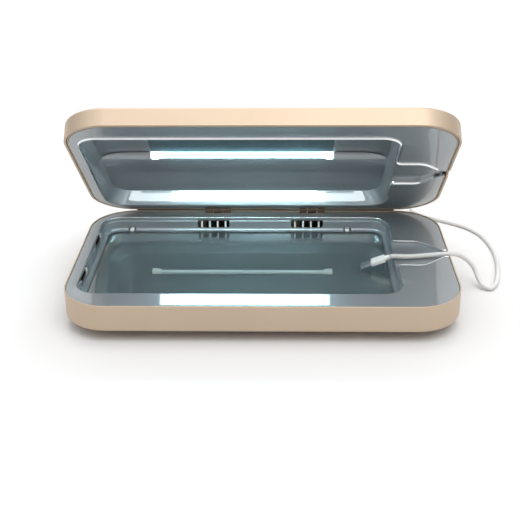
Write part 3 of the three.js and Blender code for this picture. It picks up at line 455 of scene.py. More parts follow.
def carved(piece, joins=None, cuts=None):
    """Joins bodies to a piece, then cuts others out of it."""
    for shape, operation in ((joins, "UNION"), (cuts, "DIFFERENCE")):
        if shape:
            tool = add_object("carving", *shape)
            step = piece.modifiers.new("Carve", "BOOLEAN")
            step.object = tool
            step.operation = operation
            step.solver = "EXACT"
            settle(piece)
            bpy.data.objects.remove(tool)


def dressed(piece, body, node, finish, sharp=35.0, replaced=None):
    """Gives a piece its shading, finish and body. It replaces that node, if not others."""
    piece.data.shade_smooth()
    piece.data.set_sharp_from_angle(angle=math.radians(sharp))
    piece.modifiers.new("Normals", "WEIGHTED_NORMAL").keep_sharp = True
    settle(piece)
    piece.data.materials.clear()
    piece.data.materials.append(finishes()[finish])
    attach(piece, body)
    if replaced is None:
        replaced = (node,)
    if replaced:
        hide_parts(*replaced)
    return piece


def refined(node, name, bevel, body, finish, sharp=35.0):
    """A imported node's shape with its edges rounded."""
    mesh = frame["nodes"][node].data.copy()
    mesh.name = name
    made = bmesh.new()
    made.from_mesh(mesh)
    bmesh.ops.remove_doubles(made, verts=made.verts, dist=1e-6)
    bmesh.ops.dissolve_limit(made, angle_limit=math.radians(1.5), verts=made.verts, edges=made.edges)
    made.to_mesh(mesh)
    made.free()
    piece = bpy.data.objects.new(name, mesh)
    bpy.context.scene.collection.objects.link(piece)
    if bevel:
        step = piece.modifiers.new("Edges", "BEVEL")
        step.width = bevel * MM
        step.segments = 2
        step.limit_method = "ANGLE"
        step.angle_limit = math.radians(40)
        step.use_clamp_overlap = True
        settle(piece)
    return dressed(piece, body, node, finish, sharp)


# Materials
def add_node(tree, kind, sockets=(), **settings):
    """Adds a node with its settings, and links or sets its sockets."""
    made = tree.nodes.new(kind)
    for name, value in settings.items():
        setattr(made, name, value)
    for socket, value in dict(sockets).items():
        if isinstance(value, bpy.types.NodeSocket):
            tree.links.new(value, made.inputs[socket])
        else:
            made.inputs[socket].default_value = value
    return made


def start_material(name, sockets):
    """A material with one shader, and its tree."""
    made = bpy.data.materials.new(name)
    made.use_nodes = True
    tree = made.node_tree
    tree.nodes.clear()
    shader = add_node(tree, "ShaderNodeBsdfPrincipled", sockets)
    add_node(tree, "ShaderNodeOutputMaterial", {"Surface": shader.outputs["BSDF"]})
    place = add_node(tree, "ShaderNodeTexCoord").outputs["Object"]
    return made, tree, shader, place


def grain(tree, place, size, detail=2.0, stretch=(1, 1, 1)):
    """Noise whose spots are about this size in millimetres."""
    scaled = add_node(tree, "ShaderNodeMapping", {"Vector": place, "Scale": stretch})
    return add_node(tree, "ShaderNodeTexNoise", {
        "Vector": scaled.outputs["Vector"], "Scale": 1 / (size * MM), "Detail": detail, "Roughness": 0.5,
    }).outputs["Fac"]


def spread(tree, value, low, high):
    """A noise value spread over a range."""
    return add_node(tree, "ShaderNodeMapRange", {
        "Value": value, "From Min": 0.3, "From Max": 0.7, "To Min": low, "To Max": high,
    }).outputs["Result"]


def two_tone(tree, shader, value, first, second):
    mixed = add_node(tree, "ShaderNodeMix", {"Factor": value}, data_type="RGBA")
    mixed.inputs[6].default_value = linear(first)
    mixed.inputs[7].default_value = linear(second)
    tree.links.new(mixed.outputs[2], shader.inputs["Base Color"])


def bumpy(tree, shader, value, height):
    """Relief of this height in millimetres."""
    bump = add_node(tree, "ShaderNodeBump", {"Height": value, "Distance": height * MM, "Strength": 1.0})
    tree.links.new(bump.outputs["Normal"], shader.inputs["Normal"])


def champagne_anodised():
    """Bead-blasted, anodised aluminium: a fine satin grain that blurs every reflection."""
    made, tree, shader, place = start_material("champagne_anodised_aluminium", {"Metallic": 0.45})
    two_tone(tree, shader, spread(tree, grain(tree, place, 45), 0, 1), "bfab95", "c3af99")
    # The real blasting is 0.1 mm fine; it is drawn at 0.35 mm so that it shows
    fine = grain(tree, place, 0.35)
    tree.links.new(spread(tree, fine, 0.38, 0.47), shader.inputs["Roughness"])
    bumpy(tree, shader, fine, 0.004)
    return made


def metallised_plastic():
    """Vacuum-metallised ABS under clear lacquer: sharp faint images over a smoked satin mirror."""
    made, tree, shader, place = start_material("smoked_metallised_abs", {
        "Metallic": 0.58, "Coat Weight": 1.0, "Coat Roughness": 0.02, "Coat IOR": 1.8,
    })
    two_tone(tree, shader, spread(tree, grain(tree, place, 60), 0, 1), "92989c", "999fa3")
    tree.links.new(spread(tree, grain(tree, place, 25), 0.36, 0.42), shader.inputs["Roughness"])
    return made


def glowing(name, code, strength):
    """Lit from inside: on the quartz tube this is the lamp's own light, so that it reads as an even white
    tube; on the ceramic caps it is a painted glow.
    """
    made, tree, shader, place = start_material(name, {
        "Base Color": linear("f4ffff"), "Roughness": 0.25,
        "Emission Color": linear(code), "Emission Strength": strength,
    })
    bumpy(tree, shader, grain(tree, place, 3), 0.003)
    return made


def clear_quartz():
    """A polished quartz plate: clear, with faint ripples."""
    made, tree, shader, place = start_material("polished_quartz", {
        "Base Color": linear("f2fbfb"), "Roughness": 0.02, "IOR": 1.46, "Transmission Weight": 1.0,
    })
    bumpy(tree, shader, grain(tree, place, 30, 0.0), 0.002)
    return made


def moulded(name, first, second, low, high, size=0.8, height=0.006, coat=0.0, gloss=0.5):
    """Moulded plastic: two near tones, a fine texture and the gloss that its tool gave it."""
    made, tree, shader, place = start_material(name, {
        "IOR": 1.5, "Coat Weight": coat, "Specular IOR Level": gloss,
    })
    fine = grain(tree, place, size)
    two_tone(tree, shader, spread(tree, grain(tree, place, 12), 0, 1), first, second)
    tree.links.new(spread(tree, fine, low, high), shader.inputs["Roughness"])
    bumpy(tree, shader, fine, height)
    return made


def metal(name, first, second, low, high, stretch=(1, 1, 1)):
    """Bare or plated metal, brushed along its longest side where stretch says so."""
    made, tree, shader, place = start_material(name, {"Metallic": 1.0})
    fine = grain(tree, place, 0.6, 3.0, stretch)
    two_tone(tree, shader, spread(tree, grain(tree, place, 9), 0, 1), first, second)
    tree.links.new(spread(tree, fine, low, high), shader.inputs["Roughness"])
    bumpy(tree, shader, fine, 0.003)
    return made


def circuit_board():
    """Solder mask over copper: green, with paler tracks between small pads."""
    made, tree, shader, place = start_material("solder_mask_green", {"IOR": 1.5, "Coat Weight": 0.4})
    cells = add_node(tree, "ShaderNodeTexVoronoi", {"Vector": place, "Scale": 1 / (3.4 * MM)})
    cells.distance = "MANHATTAN"
    tracks = add_node(tree, "ShaderNodeMapRange", {
        "Value": cells.outputs["Distance"], "From Min": 0.36, "From Max": 0.4,
    })
    two_tone(tree, shader, tracks.outputs["Result"], "1c5236", "2c6b48")
    tree.links.new(spread(tree, grain(tree, place, 1.2), 0.3, 0.42), shader.inputs["Roughness"])
    bumpy(tree, shader, tracks.outputs["Result"], 0.03)
    return made


FINISHES = {}


def finishes():
    """Every material, made at the first call."""
    if not FINISHES:
        FINISHES.update(
            gold=champagne_anodised(),
            mirror=metallised_plastic(),
            lamp=glowing("lit_quartz_tube", "c8f6ff", 36.0),
            # The lid's ceramic caps glow: a painted glow that stands for the tube's light falling on them
            cap=glowing("ceramic_cap_painted_glow", "d8f8ff", 10.0),
            unlit=moulded("unlit_quartz_tube", "dbe8ea", "e6f1f2", 0.14, 0.2, coat=0.5),
            quartz=clear_quartz(),
            cover=moulded("grey_satin_abs", "b2b5b9", "bcbfc3", 0.3, 0.4),
            # A dark finish with no gloss, for the plate in front of the lid's lamp: painted shade
            bed=moulded("dark_matte_abs_painted_shade", "526268", "5a6a70", 0.5, 0.6, gloss=0.0),
            black=moulded("black_glass_filled_nylon", "17181a", "1f2022", 0.45, 0.6),
            # White gloss for the plugs, grips, clips and the base lamp's caps; on the grille and slot ribs
            # the same white is a painted glint
            white=moulded("white_gloss_abs_and_painted_glint", "f1f1ef", "f6f6f4", 0.22, 0.32, coat=0.3),
            jacket=moulded("white_elastomer_jacket", "d0d0ce", "d8d8d6", 0.32, 0.44, 1.6, 0.01),
            rubber=moulded("black_silicone_rubber", "232324", "2d2d2e", 0.7, 0.85),
            lens=moulded("frosted_polycarbonate", "dfe9ea", "eaf3f3", 0.25, 0.35),
            steel=metal("nickel_plated_steel", "b9bdc1", "c6cace", 0.22, 0.34, (1, 6, 1)),
            # A lighter copy of the lining's metallised finish: a painted highlight on the rim beads and the
            # lid's lips
            bright=metal("metallised_abs_painted_highlight", "e4e8ea", "eef1f2", 0.14, 0.2),
            bronze=metal("bronze_plated_steel", "5a4a3e", "6b594b", 0.32, 0.44),
            magnet=metal("nickel_plated_magnet", "9a9ea2", "a9adb1", 0.2, 0.3),
            board=circuit_board(),
        )
    return FINISHES


def repeat_tree():
    """Geometry Nodes that repeat a small shape in a row or a grid."""
    name = "Repeated piece"
    if name in bpy.data.node_groups:
        return bpy.data.node_groups[name]
    tree = bpy.data.node_groups.new(name, "GeometryNodeTree")
    sockets = {
        "Geometry": "Geometry", "Piece": "Object", "Columns": "Int", "Rows": "Int", "Width": "Float",
        "Height": "Float", "Place": "Vector", "Material": "Material",
    }
    for title, kind in sockets.items():
        tree.interface.new_socket(title, in_out="INPUT", socket_type=f"NodeSocket{kind}")
    tree.interface.new_socket("Geometry", in_out="OUTPUT", socket_type="NodeSocketGeometry")
    given = add_node(tree, "NodeGroupInput").outputs
    grid = add_node(tree, "GeometryNodeMeshGrid", {
        "Size X": given["Width"], "Size Y": given["Height"],
        "Vertices X": given["Columns"], "Vertices Y": given["Rows"],
    })
    stood = add_node(tree, "GeometryNodeTransform", {
        "Geometry": grid.outputs["Mesh"], "Translation": given["Place"],
    })
    shape = add_node(tree, "GeometryNodeObjectInfo", {"Object": given["Piece"]})
    repeated = add_node(tree, "GeometryNodeInstanceOnPoints", {
        "Points": stood.outputs["Geometry"], "Instance": shape.outputs["Geometry"],
    })
    real = add_node(tree, "GeometryNodeRealizeInstances", {"Geometry": repeated.outputs["Instances"]})
    painted = add_node(tree, "GeometryNodeSetMaterial", {
        "Geometry": real.outputs["Geometry"], "Material": given["Material"],
    })
    add_node(tree, "NodeGroupOutput", {"Geometry": painted.outputs["Geometry"]})
    return tree


def repeated(name, shape, finish, columns=1, rows=1, width=0, height=0, place=(0, 0, 0)):
    """A piece made of one shape at every place of a grid, in millimetres."""
    tree = repeat_tree()
    template = add_object(name + "_shape", *shape)
    template.data.shade_smooth()
    piece = add_object(name, [(0, 0, 0)], [])
    step = piece.modifiers.new("Repeat", "NODES")
    step.node_group = tree
    values = {
        "Piece": template, "Columns": columns, "Rows": rows, "Width": width * MM, "Height": height * MM,
        "Place": tuple(c * MM for c in place), "Material": finishes()[finish],
    }
    for item in tree.interface.items_tree:
        if item.in_out == "INPUT" and item.name in values:
            step[item.identifier] = values[item.name]
    settle(piece)
    bpy.data.objects.remove(template)
    return piece


# Plans of this box
def funnel_corners(grow, end_x):
    """The funnel's corners from its rear end to the chamber, and from the chamber to its front end."""
    half, neck = FUNNEL_HALF + grow, NOTCH_HALF + grow
    rear = [(end_x, FUNNEL_Y + neck, 0), (NECK_X, FUNNEL_Y + neck, NECK_ROUND),
            (SHOULDER_X, FUNNEL_Y + half, SHOULDER_ROUND)]
    return rear, [(x, 2 * FUNNEL_Y - y, r) for x, y, r in reversed(rear)]


def base_rim_path(mouth_radius):
    """The rim's open path: in along the funnel, round the chamber, and out along the funnel."""
    left, right, front, back, radius = CHAMBER
    longest = 5.0
    rear, fore = funnel_corners(0, DECK_EDGE[1])
    corners = [*rear, (right, rear[-1][1], mouth_radius), (right, back, radius), (left, back, radius),
               (left, front, radius), (right, front, radius), (right, fore[0][1], mouth_radius), *fore]
    return divided(rounded_path(corners), longest)


def base_deck_height(x, y, fall, hollow):
    """The deck's height: it falls from the chamber, more gently as it nears its level edge."""
    out = max(0.0, -rect_distance(x, y, inset(DECK_EDGE, DECK_LEVEL)))
    within = max(0.0, rect_distance(x, y, CHAMBER))
    share = out / (out + within) if out + within else 1.0
    return BASE_RIM - fall * (1 - share + hollow * share * (1 - share))


def rounded_edge(radius, steps):
    """Offsets and drops of a quarter-round edge, from the deck over to the wall."""
    turns = [TAU / 4 * k / steps for k in range(steps + 1)]
    return [(radius * (1 - math.sin(a)), radius * (1 - math.cos(a))) for a in turns]


def shell_levels(rim, edge, wall):
    """A shell half as one closed run of rings: crown, band, rim, then the same inside."""
    outer = (-WIDTH / 2, WIDTH / 2, -DEPTH / 2, DEPTH / 2, CORNER)
    start, fillet_steps = EDGE_FILLET * (1 - math.cos(EDGE_TURN)), 8

    def level(by, height, thickness):
        radius = max(CORNER - by - thickness, CROWN_CORNER)
        return inset(outer, by + thickness, radius), height + thickness

    def half(thickness, crown_steps):
        made = []
        for k in range(crown_steps + 1):
            share = 1 - k / crown_steps
            made.append(level(start + CROWN_RUN * share, CROWN_RISE * (1 - share) ** 2, thickness))
        for k in range(1, fillet_steps + 1):
            angle = EDGE_TURN * (1 - k / fillet_steps)
            rise = EDGE_FILLET * (math.sin(EDGE_TURN) - math.sin(angle))
            made.append(level(EDGE_FILLET * (1 - math.cos(angle)), CROWN_RISE + rise, thickness))
        return made

    levels = half(0, 14)
    levels.append((outer, rim - edge - 0.4))
    levels += [(inset(outer, drop), rim - by) for by, drop in rounded_edge(edge, 4)]
    levels += [(inset(outer, wall - by), rim - drop) for by, drop in rounded_edge(edge, 3)]
    if wall < WALL:
        levels += [(inset(outer, by), rim - RIM_DEPTH) for by in (wall, WALL)]
    levels += half(WALL, 6)[::-1]
    return levels


# Settings that a user would change
def length_setting(name, description, default):
    return bpy.props.FloatProperty(name=name, description=description, unit="LENGTH", default=default)


def colour_setting(name, description, code):
    return bpy.props.FloatVectorProperty(
        name=name, description=description, subtype="COLOR", size=4, default=linear(code))


class SanitizerSizes(bpy.types.PropertyGroup):
    rim_edge: length_setting("Shell rim edge", "Radius of the shells' rim edges", 0.00025)
    chamber_edge: length_setting("Chamber edge", "Radius of the chamber's upper edge", 0.0006)
    deck_fall: length_setting("Deck fall", "How far the base deck falls to its edge", 0.0006)
    mouth_radius: length_setting("Funnel mouth", "Radius where the funnel meets the chamber", 0.0025)
    lid_edge: length_setting("Lid chamber edge", "Radius of the lid chamber's edge", 0.0007)


class SanitizerColours(bpy.types.PropertyGroup):
    floor: colour_setting("Floor", "Colour of the studio floor", "d7d7d7")
    lamp: colour_setting("Lamp light", "Colour that the lid's lamp casts", "eaf5f9")


# Operators
class SANITIZER_OT_camera(bpy.types.Operator):
    """Adds the camera at the photograph's viewing angle"""

    bl_idname = "sanitizer.camera"
    bl_label = "Add camera"

    def execute(self, context):
        data = bpy.data.cameras.new("camera")
        data.sensor_width = SENSOR_WIDTH
        data.lens = FOCAL_PIXELS / IMAGE_SIDE * SENSOR_WIDTH
        data.shift_y = (AXIS_ROW - IMAGE_SIDE / 2) / IMAGE_SIDE
        data.clip_start, data.clip_end = CLIP_METRES
        camera = bpy.data.objects.new("camera", data)
        context.scene.collection.objects.link(camera)
        pitch, yaw, roll = (math.radians(a) for a in (CAMERA_PITCH, CAMERA_YAW, CAMERA_ROLL))
        turn = Matrix.Rotation(-yaw, 4, "Z") @ Matrix.Rotation(TAU / 4 - pitch, 4, "X")
        turn = turn @ Matrix.Rotation(roll, 4, "Z")
        camera.matrix_world = Matrix.Translation(Vector(CAMERA_PLACE) * MM) @ turn
        context.scene.camera = camera
        return {"FINISHED"}


class SANITIZER_OT_lead(bpy.types.Operator):
    """Lays the charging lead along its route and adds both plugs"""

    bl_idname = "sanitizer.lead"
    bl_label = "Lay charging lead"

    def execute(self, context):
        line = smooth_route(LEAD_ROUTE, 6)
        curve = bpy.data.curves.new("lead", "CURVE")
        curve.dimensions = "3D"
        curve.bevel_depth = LEAD_DIAMETER / 2 * MM
        curve.bevel_resolution = 5
        curve.use_fill_caps = True
        spline = curve.splines.new("POLY")
        spline.points.add(len(line) - 1)
        for point, place in zip(spline.points, line):
            point.co = (*(place * MM), 1)
        spline.use_smooth = True
        curve.materials.append(finishes()["jacket"])
        lead = bpy.data.objects.new("lead", curve)
        context.scene.collection.objects.link(lead)
        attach(lead, "base")
        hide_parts("charge_lead")
        plugs = [
            usb_grip(),
            refined("usb_plug_shell", "usb_shell", 0.12, "base", "steel"),
            refined("device_plug_grip", "device_grip", 0.35, "base", "white", 50),
            refined("device_plug_tip", "device_tip", 0.1, "base", "steel"),
        ]
        return {"FINISHED"}


def smooth_route(route, steps):
    """Points on the centripetal curve through a route."""
    places = [Vector(p) for p in route]
    ends = [places[0] * 2 - places[1], *places, places[-1] * 2 - places[-2]]
    line = []
    for four in zip(ends, ends[1:], ends[2:], ends[3:]):
        times = [0.0]
        for a, b in zip(four, four[1:]):
            times.append(times[-1] + (b - a).length ** 0.5)
        for k in range(steps):
            now = times[1] + (times[2] - times[1]) * k / steps
            made = four
            for start, end in ((times, times[1:]), (times, times[2:]), (times[1:], times[2:])):
                made = [a * ((t - now) / (t - s)) + b * ((now - s) / (t - s))
                        for a, b, s, t in zip(made, made[1:], start, end)]
            line += made
    return [*line, places[-1]]


def soft_block(width, height, corner, edge, low, high, steps=8):
    """A bar along Z whose section is a rounded rectangle and whose ends are rounded over."""
    ring = (-width / 2, width / 2, -height / 2, height / 2, corner)
    turns = rounded_edge(edge, 5)
    start = [(inset(ring, by), low + drop) for by, drop in turns]
    end = [(inset(ring, drop), high - by) for by, drop in turns]
    return loft(start + end, steps)


def usb_grip():
    """The rear plug's grip: a soft block, then a ribbed relief that tapers to the lead."""
    start, end = HINGE_Y + 0.6, HINGE_Y + 19.6
    relief, ribs, wide, taper, groove = 8.0, 5, 2.8, 1.1, 0.5
    mouth = LEAD_DIAMETER / 2 + 0.22
    turn = moved(USB_A_X, 0, USB_A_Z) @ ALONG_Y
    profile = [(0, end - 1), (wide, end - 1)]
    for k in range(ribs):
        near, far = end + relief * k / ribs, end + relief * (k + 1) / ribs
        radius = wide - taper * k / ribs
        profile += [(radius, near + 0.1), (radius - 0.1, far - 0.55), (radius - groove, far - 0.45),
                    (radius - groove, far - 0.1)]
    profile += [(mouth, end + relief), (0, end + relief)]
    piece = add_object("usb_grip", *placed(soft_block(11.6, 6.6, 2.2, 0.9, start, end), turn))
    carved(piece, joins=placed(lathed(profile, 40), turn))
    return dressed(piece, "base", "usb_plug_grip", "white", 40)


class SANITIZER_OT_shells(bpy.types.Operator):
    """Adds the champagne shells of the base and the lid, with the trim on their edges"""

    bl_idname = "sanitizer.shells"
    bl_label = "Add shells"

    def execute(self, context):
        edge = context.scene.sanitizer_sizes.rim_edge / MM
        hinges = on_hinges(HINGE_ROOM, (-HINGE_HALF, HINGE_HALF))
        feet = [(x, y) for x in (-FOOT_X, FOOT_X) for y in (-FOOT_Y, FOOT_Y)]
        below, foot_seat, screw_seat = -2, 1.0, 3.0
        base = add_object("base_skin", *loft(shell_levels(BASE_RIM, edge, RIM_WALL), 24))
        carved(base, cuts=gathered(*(post(FOOT_RADIUS + FIT, x, y, below, foot_seat) for x, y in feet)))
        carved(base, cuts=gathered(
            *(post(SCREW_HEAD + FIT, x, y, below, screw_seat) for x, y in feet),
            *hinges,
            rim_notch(4, LEDGE_Z + 2),
            channel(*USB_A_HOLE, *REAR_WALL, USB_A_X, USB_A_Z),
            channel(*USB_C_HOLE, *REAR_WALL, USB_C_X, USB_C_Z),
            placed(post(INLET_HOLE, 0, 0, *REAR_WALL), moved(INLET_X, 0, INLET_Z) @ ALONG_Y),
        ))
        dressed(base, "base", "base_shell", "gold")
        turned_over = moved(0, 0, LID_TOP) @ Matrix.Rotation(TAU / 2, 4, "X")
        levels = shell_levels(LID_TOP - LID_RIM, edge, WALL)
        lid = add_object("lid_skin", *placed(loft(levels, 24), turned_over))
        lens_hole = post(LENS_HOLE, 0, LENS_Y, LID_RIM + 5, LID_TOP + 2)
        carved(lid, cuts=gathered(*hinges, rim_notch(3.6, LID_RIM - 0.2), lens_hole))
        lid.data.transform(lid_opened())
        dressed(lid, "lid", "lid_shell", "gold")
        inner = add_object("lid_inner_rim", *gathered(*inner_rim()), lid_opened())
        dressed(inner, "lid", "lid_shell", "gold", 30, ())
        # Black strips across the rear gap: painted shade for the dark gap there
        gap_shade = add_object("rear_seal", *gathered(*gap_shade_strips()), lid_opened())
        dressed(gap_shade, "lid", "foot_front_left", "rubber", replaced=())
        near, far = HINGE_HALF - 0.54, HINGE_HALF - 0.1
        discs = on_hinges(WASHER_RADIUS, (near, far), (-far, -near))
        washers = add_object("hinge_washers", *gathered(*discs))
        dressed(washers, "base", "hinge_base_leaf_left", "bronze", replaced=())
        return {"FINISHED"}


def on_hinges(radius, *spans):
    """Bars on both hinges' axis, each over a span that is measured from its hinge's middle."""
    return [bar(radius, x + a, x + b, HINGE_Y, PARTING) for x in (-HINGE_X, HINGE_X) for a, b in spans]


def rim_notch(height, z):
    """A block that cuts the lead's notch through the right wall."""
    return block(WALL + 4, 2 * NOTCH_HALF, height, WIDTH / 2 - WALL / 2, FUNNEL_Y, z)


def inner_rim():
    """A thin second rim inside the lid shell's edge, left out along the rear and at the lead's notch."""
    gap, half, bevel, rear = 0.45, 0.3, 0.15, 60
    low, high = LID_RIM + 0.1, LID_RIM + 1.9
    plan = [Vector(p) for p in ring_points(inset(LINER_EDGE, -gap), *EDGE_PARTS)]
    plan.append(plan[0])
    section = [(half, high), (-half, high), (-half, low + bevel), (bevel - half, low), (half - bevel, low),
               (half, low + bevel)]
    return swept_runs(plan, section, lambda place: place.y < rear and (
        place.x < 0 or abs(place.y - FUNNEL_Y) > NOTCH_HALF))


def gap_shade_strips():
    """Black rubber strips that close the rear gap beside and between the hinges: a dark fill, painted shade
    where the gap is dark.
    """
    depth, height, corner = 0.38, 1.1, 0.1
    outer, reach = WIDTH / 2 - CORNER, HINGE_HALF - 0.04
    spans = ((-outer, -HINGE_X - reach), (-HINGE_X + reach, HINGE_X - reach), (HINGE_X + reach, outer))
    return [block(b - a, depth, height, (a + b) / 2, HINGE_Y + 0.17, PARTING + 0.39, corner)
            for a, b in spans]


class SANITIZER_OT_base_lining(bpy.types.Operator):
    """Adds the base's mirror lining: deck, stepped rim, funnel, chamber and lamp basin"""

    bl_idname = "sanitizer.base_lining"
    bl_label = "Add base lining"

    def execute(self, context):
        sizes = context.scene.sanitizer_sizes
        fall, hollow, rim_reach = sizes.deck_fall / MM, 0.35, 6
        path = base_rim_path(sizes.mouth_radius / MM)
        normals = outward(path, False)

        def height(x, y):
            return base_deck_height(x, y, fall, hollow)

        skin = Skin()
        loops = rim_loops(path, normals, sizes.chamber_edge / MM, height)
        skin.strips(loops, False)
        ledge = inset(CHAMBER, LEDGE_RUN)
        plan = ring_points(ledge, *CHAMBER_PARTS)
        outs = outward(plan, True)
        walls = chamber_loops(ledge, outs)
        skin.add(skin.strips(walls, True))
        hole = flat(walls[0])
        for outline, holes, spacing, given, level in (
            (ledge_outline(flat(loops[-1])), [hole], 3.0, [], lambda x, y: LEDGE_Z),
            (deck_outline(flat(loops[0])), [], 3.5, deck_creases(), height),
        ):
            points, faces = fill(outline, holes, spacing, given)
            rows = []
            for x, y in points:
                away, near = nearest_outward(x, y, path, normals, ledge)
                share = LINING * max(0.0, 1 - near / rim_reach)
                z = level(x, y)
                rows.append(skin.at((x, y, z), (x + away.x * share, y + away.y * share, z - LINING)))
            for face in faces:
                skin.add([rows[k] for k in face])
        lining = add_object("base_lining", *skin.solid())
        lamp = (BASE_LAMP_Y, BASE_LAMP_Z)
        carved(lining, joins=lamp_room(TROUGH + LINING, LINING, *lamp))
        above = TROUGH + LINING + 1
        open_top = block(2 * (LAMP_HALF + FIT + above), 2 * above, above, LAMP_X, BASE_LAMP_Y,
                         BASIN_FLOOR + 0.05 + above / 2)
        carved(lining, joins=swept(plan, outs, coving_section(), True), cuts=open_top)
        openings, recesses = zip(*(grille_openings(x) for x in GRILLE_XS))
        slot_z = LEDGE_Z - SLOT_HEIGHT / 2 + 0.15
        slots = [block(6, SLOT_LENGTH, SLOT_HEIGHT + 0.3, ledge[0] - 2, y, slot_z) for y in SLOT_YS]
        clips = [block(*CLIP_HOLE, x, y, PLATE_TOP + 1.1) for x in CLIP_XS for y in ledge[2:4]]
        hinges = on_hinges(HINGE_ROOM, (-HINGE_HALF, HINGE_HALF))
        carved(lining, cuts=gathered(lamp_room(TROUGH, 0, *lamp), *openings, *slots, *clips, *hinges))
        carved(lining, cuts=gathered(*recesses))
        dressed(lining, "base", "base_chamber_deck", "mirror", 30)
        # Beads along the rim and ledge edges in the lighter finish: real rounded edges that carry a painted
        # highlight, left off along the front
        front = -40
        beads = swept_runs(path, bead_section(0.22, -0.24), lambda place: place.y > front, height)
        beads.append(swept(hole, outs, bead_section(0.2, LEDGE_Z - 0.26), True))
        edges = add_object("base_edges", *gathered(*beads))
        carved(edges, cuts=gathered(*openings, *recesses))
        dressed(edges, "base", "base_chamber_deck", "bright", 50, ())
        return {"FINISHED"}


def flat(loop):
    """The plan of a loop of places with partners."""
    return [Vector(place[:2]) for place, _ in loop]


def backed(places, z, outs, push):
    """A loop of places at one height, each with its partner on the lining's back."""
    return [((x, y, z), (x + out.x * push, y + out.y * push, z - LINING))
            for (x, y), out in zip(places, outs)]


def rim_loops(path, normals, edge, height):
    """Loops down the stepped rim, which runs round the chamber and out along the funnel."""
    foot, deck_strip, wall_end = 0.4, 0.6, 0.3
    columns = []
    for place, out in zip(path, normals):
        start = place + out * edge
        top = height(start.x, start.y)
        profile = [(edge + deck_strip, None), *((by, top - drop) for by, drop in rounded_edge(edge, 7))]
        profile += [(0, LEDGE_Z + foot + wall_end)]
        profile += [(-drop, LEDGE_Z + by) for by, drop in rounded_edge(foot, 5)]
        profile += [(-foot - 0.1, LEDGE_Z)]
        column = []
        for by, z in profile:
            spot = place + out * by
            behind = spot + out * LINING
            z = height(spot.x, spot.y) if z is None else z
            column.append(((spot.x, spot.y, z), (min(behind.x, DECK_EDGE[1]), behind.y, z - LINING)))
        columns.append(column)
    return [list(loop) for loop in zip(*columns)]


def chamber_loops(ledge, outs):
    """Loops from the ledge down to the plate's seat, and on to the floor of the lamp's basin."""
    lip, draft, seat = 0.25, 1.0, 3.6
    profile = [(-lip - 0.1, LEDGE_Z), *((-by, LEDGE_Z - drop) for by, drop in rounded_edge(lip, 5))]
    profile += [(draft - 0.1, PLATE_TOP + 0.8), (draft, PLATE_TOP), (draft, PLATE_SEAT),
                (draft + seat, PLATE_SEAT), (draft + seat + 0.4, PLATE_SEAT - 0.2)]
    rings = [(inset(ledge, by), z) for by, z in profile] + [(BASIN_RING, BASIN_FLOOR)]
    return [backed(ring_points(ring, *CHAMBER_PARTS), z, outs, LINING) for ring, z in rings]


def ledge_outline(inner):
    """The ledge's outer edge, closed across the funnel's end."""
    return inner + divided([inner[-1], inner[0]], 2.5)[1:-1]


def deck_outline(rim):
    """The deck's outline: round its outer edge, and back along the rim."""
    right, margin = DECK_EDGE[1], 1
    outer = [Vector(p) for p in ring_points(DECK_EDGE, *EDGE_PARTS)]
    outer = [p for p in outer if not (p.x > right - 0.01 and rim[-1].y - margin < p.y < rim[0].y + margin)]
    first = min(range(len(outer)), key=lambda k: (outer[k] - rim[0]).length)
    return [rim[0], *outer[first:], *outer[:first], rim[-1], *rim[-2:0:-1]]


def deck_creases():
    """Places on both sides of the line where the deck turns level."""
    return [p for by in (-0.4, 0.0, 0.5) for p in ring_points(inset(DECK_EDGE, DECK_LEVEL + by), 14, 50)]


def coving_section():
    """The hollow moulding at the foot of the chamber's wall."""
    wall, start, hollow = 0.3, 0.8, 2.2
    low = PLATE_TOP + 0.35
    bend = [(-start - drop, low + by) for by, drop in rounded_edge(hollow, 9)]
    return [(-wall, low - 0.2), (-wall, low + hollow), *bend, (-start - hollow, low - 0.2)]


def bead_section(across, z):
    """A round edge bead's section."""
    radius, steps = 0.36, 10
    turns = [TAU * k / steps for k in range(steps)]
    return [(across + radius * math.cos(a), z + radius * math.sin(a)) for a in turns]


def lamp_room(radius, grow, y, z):
    """A bar along a lamp's line that is longer than its room by grow at each end."""
    reach = LAMP_HALF + FIT + grow
    return bar(radius, LAMP_X - reach, LAMP_X + reach, y, z)


def runs(path, wanted):
    """The stretches of a path, as lists of indices, whose places are all wanted."""
    made = [[]]
    for k, place in enumerate(path):
        if wanted(place):
            made[-1].append(k)
        elif made[-1]:
            made.append([])
    return [run for run in made if len(run) > 1]


def swept_runs(path, section, wanted, lift=unlifted):
    """A section swept along each stretch of an open path whose places are all wanted."""
    normals = outward(path, False)
    return [swept([path[k] for k in run], [normals[k] for k in run], section, lift=lift)
            for run in runs(path, wanted)]


def grille_openings(x):
    """Bodies that cut one rear grille: an opening with rounded lower corners, and a recess above it."""
    rear, step = CHAMBER[3] - LEDGE_RUN, CHAMBER[3]
    deep, drop, high = RECESS
    rounded = (-GRILLE_WIDTH / 2, GRILLE_WIDTH / 2, -GRILLE_HEIGHT, GRILLE_HEIGHT, GRILLE_CORNER)
    plan = [(a, min(b, -drop / 2)) for a, b in ring_points(rounded, 6)]
    plan = [p for k, p in enumerate(plan) if math.dist(p, plan[k - 1]) > 1e-6]
    turn = moved(x, 0, LEDGE_Z) @ Matrix.Rotation(TAU / 4, 4, "X")
    opening = placed(extruded(plan, -rear - 4, -rear + 3), turn)
    recess = block(GRILLE_WIDTH - 0.02, step + deep - rear + 2, high, x, (step + deep + rear - 2) / 2,
                   LEDGE_Z - drop + high / 2)
    return opening, recess


